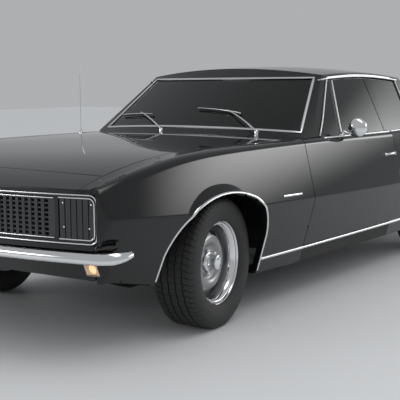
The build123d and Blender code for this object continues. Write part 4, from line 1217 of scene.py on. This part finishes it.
def stadium(x, low, high, r):
    """Closed outline in x and z, straight along top and bottom, rounded at its four corners."""
    return np.concatenate([
        level(-x + r, x - r, low, 40), corner_arc(x - r, low + r, r, -90, 0)[1:],
        corner_arc(x - r, high - r, r, 0, 90), level(x - r, -x + r, high, 40)[1:],
        corner_arc(r - x, high - r, r, 90, 180)[1:], corner_arc(r - x, low + r, r, 180, 270)[:-1],
    ])


def grille_piece():
    piece = Piece()
    for heights in RIMS_Z:
        arc_bar(piece, (-GRILLE_END, GRILLE_END), heights, RIM_IN)
    for sign in (1, -1):
        for a, b in POSTS_X:
            arc_bar(piece, (sign * a, sign * b), GRILLE_Z, POST_IN)
        arc_bar(piece, (sign * CRATE_END, sign * DIVIDER_X), GRILLE_Z, SHADE_IN, slot=1)
    for k in range(int(round((INNER_HIGH - INNER_LOW) / CELL_Z)) + 1):
        z = INNER_LOW + k * CELL_Z
        arc_bar(piece, (-CRATE_END, CRATE_END), (z, z + CRATE_Z), ROW_IN, slot=1)
    count = int(CRATE_END / CELL_X)
    for k in range(-count, count + 1):
        ends = (k * CELL_X - CRATE_X, k * CELL_X + CRATE_X)
        arc_bar(piece, ends, GRILLE_Z, COLUMN_IN, slot=1, step=0.01)
    made = piece.make("grille_crate", [GRILLE_BLACK, GRILLE_GREY], "root", angle=30)
    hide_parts("grille")


def grille_brightwork():
    """Bright loop round the nose, two strips inside it and a hook round each lamp cover."""
    piece = Piece()
    loop = stadium(FRAME_END, FRAME_LOW, FRAME_HIGH, FRAME_ROUND)
    nose_strip(piece, loop, *LOOP_BEAD, closed=True)
    for z in (INNER_LOW, INNER_HIGH):
        nose_strip(piece, level(COVER_RIM - DIVIDER_X, DIVIDER_X - COVER_RIM, z, 40), *INNER_BEAD)
    start, turn = COVER_X[0] + COVER_RIM, HOOK_END - HOOK_ROUND
    hook = np.concatenate([
        level(start, turn, HOOK_HIGH, 12), corner_arc(turn, HOOK_HIGH - HOOK_ROUND, HOOK_ROUND, 90, 0)[1:],
        corner_arc(turn, HOOK_LOW + HOOK_ROUND, HOOK_ROUND, 0, -90), level(turn, start, HOOK_LOW, 12)[1:],
    ])
    for sign in (1, -1):
        nose_strip(piece, hook * (sign, 1), *HOOK_BEAD)
    piece.make("grille_frame", [CHROME], "root")


def covers():
    """Lamp covers with upright slats and four fasteners each."""
    piece = Piece()
    pitch = (COVER_X[1] - COVER_X[0] - 2 * COVER_RIM) / SLATS
    for sign in (1, -1):
        arc_bar(piece, (sign * COVER_X[0], sign * COVER_X[1]), COVER_Z, COVER_IN)
        for k in range(SLATS):
            x0 = COVER_X[0] + COVER_RIM + k * pitch
            ends = (sign * (x0 + SLAT_GAP), sign * (x0 + pitch - SLAT_GAP))
            arc_bar(piece, ends, SLAT_Z, SLAT_IN, step=0.01)
        for x, z in FASTENERS:
            tube(piece, xyz(sign * x, NOSE_LINE(x) + FASTENER_IN, z), FASTENER_R, slot=1)
    made = piece.make("lamp_doors", [COVER_BLACK, CHROME], "root", angle=30, bevel=0.0012)
    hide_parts("headlamp_covers")


# ---------------------------------------------------------------- bumpers
# plan of each bumper's face as arcs, and their rolled section as depth in and height
BUMPER_FACE = ((0.0, -2.3455), (0.803, -2.2515), (0.868, -2.1955), (0.884, -2.0935))
REAR_FACE = ((0.0, 2.344), (0.770, 2.302), (0.862, 2.262), (0.900, 2.150))
BUMPER_SECTION = (
    (0.0240, 0.4430), (0.0110, 0.4442), (0.0045, 0.4480),
    (0.0010, 0.4550), (0.0000, 0.4630), (0.0008, 0.4710),
    (0.0040, 0.4795), (0.0095, 0.4875), (0.0160, 0.4945),
    (0.0230, 0.4975), (0.0260, 0.4955), (0.0235, 0.4900),
    (0.0200, 0.4800), (0.0180, 0.4580), (0.0215, 0.4475), (0.0250, 0.4445),
)
BUMPER_TIP = 0.016
# CAD node, face, rise over the front one, and one bracket's box
BUMPERS = (
    ("front_bumper", BUMPER_FACE, 0.0, (0.330, 0.400, -2.318, -2.1203, 0.445, 0.478)),
    ("rear_bumper", REAR_FACE, 0.0045, (0.300, 0.360, 2.2985, 2.3230, 0.452, 0.480)),
)


def plan_line(face):
    """Points and inward directions along a curved nose or tail, seen from above, left side only."""
    flat, turn = circle_of((-face[1][0], face[1][1]), face[0], face[1]), circle_of(*face[1:])
    x = np.linspace(0, face[1][0], 25)
    sign = math.copysign(1, face[0][1])
    a, b = (math.atan2(p[1] - turn[1], p[0] - turn[0]) for p in (face[1], face[3]))
    angle = np.linspace(a, b, 17)[1:]
    points = np.concatenate([
        np.stack([x, flat[1] + sign * np.sqrt(flat[2] ** 2 - x**2)], 1),
        np.stack([turn[0] + turn[2] * np.cos(angle), turn[1] + turn[2] * np.sin(angle)], 1),
    ])
    way = along(points)
    way[0] = (1, 0)
    return points, np.stack([way[:, 1], -way[:, 0]], 1) * sign


def bumper_rings(face, section):
    """The section carried along the face, its bottom rising towards the tips."""
    points, inward = (np.concatenate([half[:0:-1] * (-1, 1), half]) for half in plan_line(face))
    depth, z = np.array(section).T
    top = z.max()
    far = np.clip((np.abs(points[:, 1]) - abs(face[2][1])) / (abs(face[3][1]) - abs(face[2][1])), 0, 1)
    rings = []
    for p, n, f in zip(points, inward, far):
        high = top + (z - top) * (1 - BUMPER_TIP * f / (top - z.min()))
        rings.append(np.column_stack([p + n * depth[:, None], high]))
    return np.stack(rings)


def bumpers():
    for node, face, rise, (x0, x1, *rest) in BUMPERS:
        piece = Piece()
        piece.sweep(bumper_rings(face, [(depth, z + rise) for depth, z in BUMPER_SECTION]))
        for sign in (1, -1):
            piece.box(sign * x0, sign * x1, *rest, slot=1)
        made = piece.make(node + "_bar", [CHROME, DARK], "root", angle=40)
        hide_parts(node)


# ---------------------------------------------------------------- lamps
LAMP_X, LAMP_Z, LAMP_SKEW = (0.664, 0.724), (0.377, 0.434), 0.020
BULB_SPOT, BULB_SIZE = (0.66, 0.52), (0.27, 0.34)
TAIL_X, TAIL_Z = (0.440, 0.750), (0.640, 0.742)


def parking_lamp(piece, sign):
    """Skewed lens with a bright rim and a brighter bulb's spot, under the bumper."""
    rows, cols = 12, 8
    turn = (sign, 1, 1)

    def lens(u, v, proud):
        x = LAMP_X[0] + (LAMP_X[1] - LAMP_X[0]) * u + LAMP_SKEW * (0.5 - v)
        z = LAMP_Z[0] + (LAMP_Z[1] - LAMP_Z[0]) * v
        points = cast(low_front, xyz(x, -2.0, z), (0, -1, 0), lift=0.0)
        normals = normals_of(low_front, points)
        dome = proud + 0.006 * (np.sin(math.pi * u) * np.sin(math.pi * v)) ** 0.5
        return points, normals, (points + normals * dome[..., None]) * turn

    u, v = np.meshgrid(np.linspace(0, 1, rows + 1), np.linspace(0, 1, cols + 1), indexing="ij")
    points, normals, face = lens(u, v, 0.006)
    piece.grid(face, 2)
    r, angle = np.meshgrid(np.linspace(0.02, 1, 6), np.linspace(0, 2 * math.pi, 33), indexing="ij")
    u, v = (mid + size * r * f(angle) for mid, size, f in zip(BULB_SPOT, BULB_SIZE, (np.cos, np.sin)))
    piece.grid(lens(u, v, 0.0068)[2])
    edge = tuple(border(rows, cols))
    rim = (points[edge] + normals[edge] * 0.002) * turn
    strip(piece, rim, normals[edge] * turn, 0.0035, 0.0070, 1, closed=True, count=5)


def parking_lamps():
    piece = Piece()
    for sign in (1, -1):
        parking_lamp(piece, sign)
    made = piece.make("parking_lenses", [LAMP_WARM, CHROME, LENS_WARM], "root", angle=40)
    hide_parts("parking_lamps")


def tail_lamps():
    """Red lenses in bright rims, each split by a narrow bar."""
    piece = Piece()
    line = arc_line(TAIL_PLAN[0][1], TAIL_PLAN[1][1], TAIL_PLAN[1][0])
    rows, cols = 24, 8
    u, v = np.meshgrid(np.linspace(0, 1, rows + 1), np.linspace(0, 1, cols + 1), indexing="ij")
    x = TAIL_X[0] + (TAIL_X[1] - TAIL_X[0]) * u
    z = TAIL_Z[0] + (TAIL_Z[1] - TAIL_Z[0]) * v
    dome = 0.005 + 0.005 * (np.sin(math.pi * u) * np.sin(math.pi * v)) ** 0.4
    edge = tuple(border(rows, cols))
    mid = sum(TAIL_X) / 2
    for sign in (1, -1):
        piece.grid(xyz(x * sign, line(x) + dome, z))
        rim = xyz(x[edge] * sign, line(x[edge]) + MM, z[edge])
        strip(piece, rim, xyz(0 * rim[:, 0], 1, 0), 0.005, 0.009, 1, closed=True, count=5)
        bar = xyz(mid * sign, line(mid) + 0.007, np.linspace(*TAIL_Z, 7))
        strip(piece, bar, xyz(0 * bar[:, 0], 1, 0), 0.004, 0.005, 1, count=5)
    made = piece.make("tail_lenses", [LENS_RED, CHROME], "root", angle=40)
    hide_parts("tail_lamps")


# ---------------------------------------------------------------- front subframe
RAIL_X, RAIL_HIGH = (0.330, 0.400), 0.060
# y and bottom height of the rails, from front to rear
RAIL_LINE = ((-2.120, 0.340), (-1.750, 0.240), (-1.560, 0.175), (-0.380, 0.175))
AXLE_Y = -1.413
# feet, towers and control arms on the left: x, y and z pairs
SUBFRAME = (
    (0.350, 0.380, -0.430, -0.400, 0.234, 0.2997),
    (0.400, 0.445, AXLE_Y - 0.040, AXLE_Y + 0.040, 0.249, 0.485),
    (0.400, 0.640, AXLE_Y - 0.060, AXLE_Y + 0.060, 0.190, 0.2127),
    (0.600, 0.716, AXLE_Y - 0.028, AXLE_Y + 0.028, 0.190, 0.2127),
    (0.430, 0.640, AXLE_Y - 0.040, AXLE_Y + 0.040, 0.4403, 0.460),
    (0.600, 0.716, AXLE_Y - 0.025, AXLE_Y + 0.025, 0.4403, 0.460),
)


def subframe():
    """Front rails that kick up ahead of the wheels, crossmember, towers and control arms."""
    piece = Piece()
    piece.box(-0.445, 0.445, AXLE_Y - 0.060, AXLE_Y + 0.060, 0.175, 0.250)
    for sign in (1, -1):
        a, b = (sign * x for x in RAIL_X)
        rings = []
        for y, low in RAIL_LINE:
            high = low + RAIL_HIGH
            rings.append(((a, y, low), (b, y, low), (b, y, high), (a, y, high)))
        piece.sweep(rings)
        for x0, x1, *rest in SUBFRAME:
            piece.box(sign * x0, sign * x1, *rest)
    made = piece.make("front_subframe_rails", [STEEL], "root", angle=30, bevel=0.003)
    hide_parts("front_subframe")


for build in (grille_piece, grille_brightwork, covers, bumpers, parking_lamps, tail_lamps, subframe):
    build()

# ---------------------------------------------------------------- small fittings
MIRROR_HEAD, MIRROR_WAY = (0.915, -0.092, 0.932), (-0.25, 1.0, 0.0)
MIRROR_FOOT = (0.828, -0.118, 0.888)
# height over the foot and radius
MIRROR_BASE = ((-0.006, 0.021), (0.002, 0.021), (0.006, 0.017), (0.008, 0.009))
STEM_R, STEM_TAPER = 0.0105, 0.0045
MIRROR_PANE = ((0.0142, 0.0533), (0.0142, 0.0002))
MIRROR_PROFILE = (
    (-0.0220, 0.0002), (-0.0215, 0.0140), (-0.0190, 0.0280),
    (-0.0145, 0.0405), (-0.0065, 0.0505), (0.0030, 0.0562),
    (0.0110, 0.0580), (0.0160, 0.0578), (0.0170, 0.0564), (0.0165, 0.0544), (0.0140, 0.0532),
)
# pivot x and y, elbow, blade's near end and far end
WIPERS = (
    ((0.506, -0.548), (0.209, -0.405, 1.038), (-0.019, -0.402, 1.048), (0.310, -0.414, 1.022)),
    ((-0.170, -0.582), (-0.492, -0.386, 1.017), (-0.655, -0.374, 0.997), (-0.360, -0.426, 1.007)),
)
WIPER_POST = ((0.885, 0.0125), (0.921, 0.0125), (0.927, 0.0105), (0.931, 0.006))
ARM_Z, ARM_BOW, ARM_R, ARM_TAPER = 0.922, 0.010, 0.0062, 0.0030
BRIDGE_LIFT, BRIDGE_BOW, BRIDGE_R = 0.001, 0.007, 0.0030
BLADE_TOP, BLADE_FOOT, BLADE_HALF = 0.0025, 0.0075, 0.0014
SCREEN_UP = (0, -0.65, 0.76)
MAST = (-0.790, -0.640)
MAST_BASE = (
    (0.868, 0.013), (0.889, 0.013), (0.893, 0.0115), (0.900, 0.007), (0.906, 0.0062), (0.912, 0.0040),
)
MAST_ROD = ((0.905, 0.0026), (1.100, 0.0022), (1.296, 0.0018))
MAST_TIP = ((1.292, 0.0034), (1.298, 0.0034), (1.301, 0.0015))


def mirror():
    """Round bright mirror head on a leaning stem."""
    piece = Piece()
    place = place_along(MIRROR_WAY, MIRROR_HEAD)
    piece.lathe(MIRROR_PROFILE, place, count=64)
    piece.lathe(MIRROR_PANE, place, count=64, slot=1)
    foot, head = np.array(MIRROR_FOOT), np.array(MIRROR_HEAD) + (-0.010, -0.012, -0.030)
    path = bent([foot, foot + (0.012, 0.004, 0.020), (foot + head) / 2 + (0.002, 0, 0.004), head], 6)
    tube(piece, path, STEM_R - STEM_TAPER * np.linspace(0, 1, len(path)), up=(0, 1, 0))
    post(piece, foot[:2], [(foot[2] + z, r) for z, r in MIRROR_BASE], count=32)
    made = piece.make("mirror_head_left", [CHROME, MIRROR_GLASS], "door_left", angle=40)
    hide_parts("mirror_left")


def wipers():
    """Tapered arms and bowed bridges over dark rubber blades."""
    piece = Piece()
    for pivot, elbow, start, stop in WIPERS:
        post(piece, pivot, WIPER_POST, count=24)
        hub, elbow, start, stop = (np.array(p) for p in ((*pivot, ARM_Z), elbow, start, stop))
        share = np.linspace(0, 1, 12)[:, None]
        arm = hub + (elbow - hub) * share + np.array([0, 0, ARM_BOW]) * np.sin(math.pi * share)
        tube(piece, arm, ARM_R - ARM_TAPER * share[:, 0])
        share = np.linspace(0, 1, 15)[:, None]
        bow = start + (stop - start) * share
        way = unit(stop - start)
        out = unit(np.cross(way, np.cross(SCREEN_UP, way)))
        tube(piece, bow + out * (BRIDGE_LIFT + BRIDGE_BOW * np.sin(math.pi * share)), BRIDGE_R)
        high, low = bow - out * BLADE_TOP, bow - out * BLADE_FOOT
        across = unit(np.cross(way, out)) * BLADE_HALF
        piece.sweep(np.stack([high + across, high - across, low - across, low + across], 1), slot=1)
    made = piece.make("wiper_arms", [CHROME, RUBBER], "root", angle=40)
    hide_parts("wipers")


def antenna():
    """Thin mast on a stepped bright base."""
    piece = Piece()
    post(piece, MAST, MAST_BASE, count=32)
    post(piece, MAST, MAST_ROD)
    post(piece, MAST, MAST_TIP)
    made = piece.make("antenna_mast", [CHROME], "root", angle=40)
    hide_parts("antenna")


# ---------------------------------------------------------------- cabin
HELM, HELM_TILT = (0.385, -0.070, 0.800), math.radians(25)
RIM_R, RIM_GRIP = 0.188, 0.0118
FINGER_DENTS, DENT_DEEP = 36, 0.0008
SPOKES, SPOKE_OUT = (90, 200, 340), 0.004
SPOKE_REACH, SPOKE_R = np.array((0.030, 0.080, 0.130, 0.184)), (0.012, 0.0085, 0.0075, 0.0080)
HUB_PROFILE = (
    (-0.0290, 0.0300), (-0.0290, 0.0400), (-0.0100, 0.0400),
    (0.0080, 0.0380), (0.0100, 0.0330), (0.0100, 0.0002),
)
SEAT_X = 0.385
VOXEL = 0.012
SWELL_CAP = 0.012
# name, half width, half length, half thickness, centre y and z, tilt, cross spots and their CAD node
PADS = (
    ("seat_cushion", 0.200, 0.245, 0.060, (0.215, 0.412), 4, (SEAT_X, -SEAT_X), "front_seats"),
    ("seat_back", 0.198, 0.205, 0.044, (0.522, 0.655), 71, (SEAT_X, -SEAT_X), "front_seats"),
    ("bench_cushion", 0.552, 0.150, 0.052, (0.785, 0.528), 5, (0.0,), "rear_seat"),
    ("bench_back", 0.552, 0.155, 0.045, (0.985, 0.735), 72, (0.0,), "rear_seat"),
)
PAD_INSET, PAD_ROUND = 0.008, 0.032
CHANNEL, CHANNEL_DEEP = 0.062, 0.0045
FLOOR_TOP, TUNNEL_SIDE = 0.2703, 0.1653
BENCH_BASE_END, BENCH_BASE_Y, BENCH_BASE_Z = 0.565, (0.664, 1.055), 0.478
BASE_HALF, BASE_Y, BASE_Z = 0.175, (0.005, 0.435), 0.352
# shell behind a front seat's back: its place, tilt and box
SHELL_SPOT, SHELL_TILT = (0.548, 0.650), math.radians(71)
SHELL_BOX = (-0.190, 0.190, -0.200, 0.195, -0.046, -0.034)


def steering_wheel():
    """Round grip with finger dents, three spokes and a padded hub."""
    place = place_along((0, math.cos(HELM_TILT), math.sin(HELM_TILT)), HELM)
    piece = Piece()
    turn = np.linspace(0, 2 * math.pi, 120, endpoint=False)[:, None]
    circle = np.linspace(0, 2 * math.pi, 14, endpoint=False)
    grip = RIM_GRIP + DENT_DEEP * np.cos(turn * FINGER_DENTS)
    out = RIM_R + grip * np.cos(circle)
    rings = xyz(grip * np.sin(circle), out * np.cos(turn), out * np.sin(turn))
    piece.sweep(moved(rings, place), closed=True)
    for angle in np.radians(SPOKES):
        spoke = xyz(SPOKE_OUT, SPOKE_REACH * math.sin(angle), -SPOKE_REACH * math.cos(angle))
        tube(piece, moved(spoke, place), SPOKE_R, slot=1)
    piece.lathe(HUB_PROFILE, place, count=48)
    made = piece.make("steering_rim", [DASH, CHROME], "steering_wheel", angle=40)
    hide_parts("steering_wheel")


def seat_frames():
    """Boxed bases and shells under the pads."""
    piece = Piece()
    for x in (SEAT_X, -SEAT_X):
        piece.box(x - BASE_HALF, x + BASE_HALF, *BASE_Y, FLOOR_TOP, BASE_Z)
        lean = Matrix.Translation((x, *SHELL_SPOT)) @ Matrix.Rotation(SHELL_TILT, 4, "X")
        piece.box(*SHELL_BOX, place=lean)
    for sign in (1, -1):
        piece.box(sign * TUNNEL_SIDE, sign * BENCH_BASE_END, *BENCH_BASE_Y, FLOOR_TOP, BENCH_BASE_Z)
    made = piece.make("seat_frames", [DASH], "root", bevel=0.004)


def evaluated(piece):
    return piece.evaluated_get(bpy.context.evaluated_depsgraph_get())


def baked(piece):
    """Gives the piece the mesh that its modifiers make."""
    piece.data = bpy.data.meshes.new_from_object(evaluated(piece))
    piece.modifiers.clear()


def block(name, half_x, half_y, half_z, round_by):
    """A rounded box of the given half sizes."""
    shaped = bmesh.new()
    bmesh.ops.create_cube(shaped, size=2.0)
    bmesh.ops.scale(shaped, vec=(half_x, half_y, half_z), verts=shaped.verts)
    bmesh.ops.bevel(shaped, geom=shaped.edges[:], offset=round_by, segments=4, affect="EDGES", profile=0.6)
    mesh = bpy.data.meshes.new("pad")
    shaped.to_mesh(mesh)
    shaped.free()
    return placed(name, mesh)


def swollen(piece, half_z):
    """Short cloth run under pressure that rounds the pad, its underside held flat."""
    remesh = piece.modifiers.new("remesh", "REMESH")
    remesh.mode, remesh.voxel_size = "VOXEL", VOXEL
    baked(piece)
    held = piece.vertex_groups.new(name="held")
    held.add([v.index for v in piece.data.vertices if v.co.z < -0.9 * half_z], 1.0, "REPLACE")
    settings = piece.modifiers.new("cloth", "CLOTH").settings
    settings.use_pressure, settings.uniform_pressure_force = True, 4.0
    settings.effector_weights.gravity = 0.0
    settings.vertex_group_mass = "held"
    for number in range(1, 21):
        bpy.context.scene.frame_set(number)
    rest, step = (np.array([v.co for v in mesh.vertices]) for mesh in (piece.data, evaluated(piece).data))
    step -= rest
    size = np.linalg.norm(step, axis=1, keepdims=True)
    piece.modifiers.clear()
    capped = rest + step * np.minimum(1, SWELL_CAP / np.maximum(size, 1e-9))
    piece.data.vertices.foreach_set("co", capped.ravel())
    piece.data.update()
    bpy.context.scene.frame_set(1)


def channelled(piece, half_y, half_z):
    """One subdivision, then sewn channels pressed into the top."""
    piece.modifiers.new("fine", "SUBSURF").levels = 1
    baked(piece)
    for v in piece.data.vertices:
        x, y, z = v.co
        if z > 0.2 * half_z:
            fade = max(0.0, 1 - (abs(y) / (0.86 * half_y)) ** 8)
            v.co.z -= CHANNEL_DEEP * fade * abs(math.cos(math.pi * x / CHANNEL)) ** 14
    piece.data.polygons.foreach_set("use_smooth", [True] * len(piece.data.polygons))


def pads():
    """Cushions swollen and channelled once each, and copied across the car."""
    for name, half_x, half_y, half_z, (y, z), tilt, spots, node in PADS:
        sizes = (half - PAD_INSET for half in (half_x, half_y, half_z))
        piece = block(name, *sizes, min(PAD_ROUND, 0.7 * half_z))
        swollen(piece, half_z)
        channelled(piece, half_y, half_z)
        piece.data.materials.clear()
        piece.data.materials.append(VINYL)
        for k, x in enumerate(spots):
            if k:
                piece = placed(name, piece.data.copy())
            piece.name = name + ("_" + "lr"[k] if len(spots) > 1 else "")
            piece.matrix_world = Matrix.Translation((x, y, z)) @ Matrix.Rotation(math.radians(tilt), 4, "X")
            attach(piece, "root")
            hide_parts(node)


for build in (mirror, wipers, antenna, steering_wheel, seat_frames, pads, studio, camera):
    build()
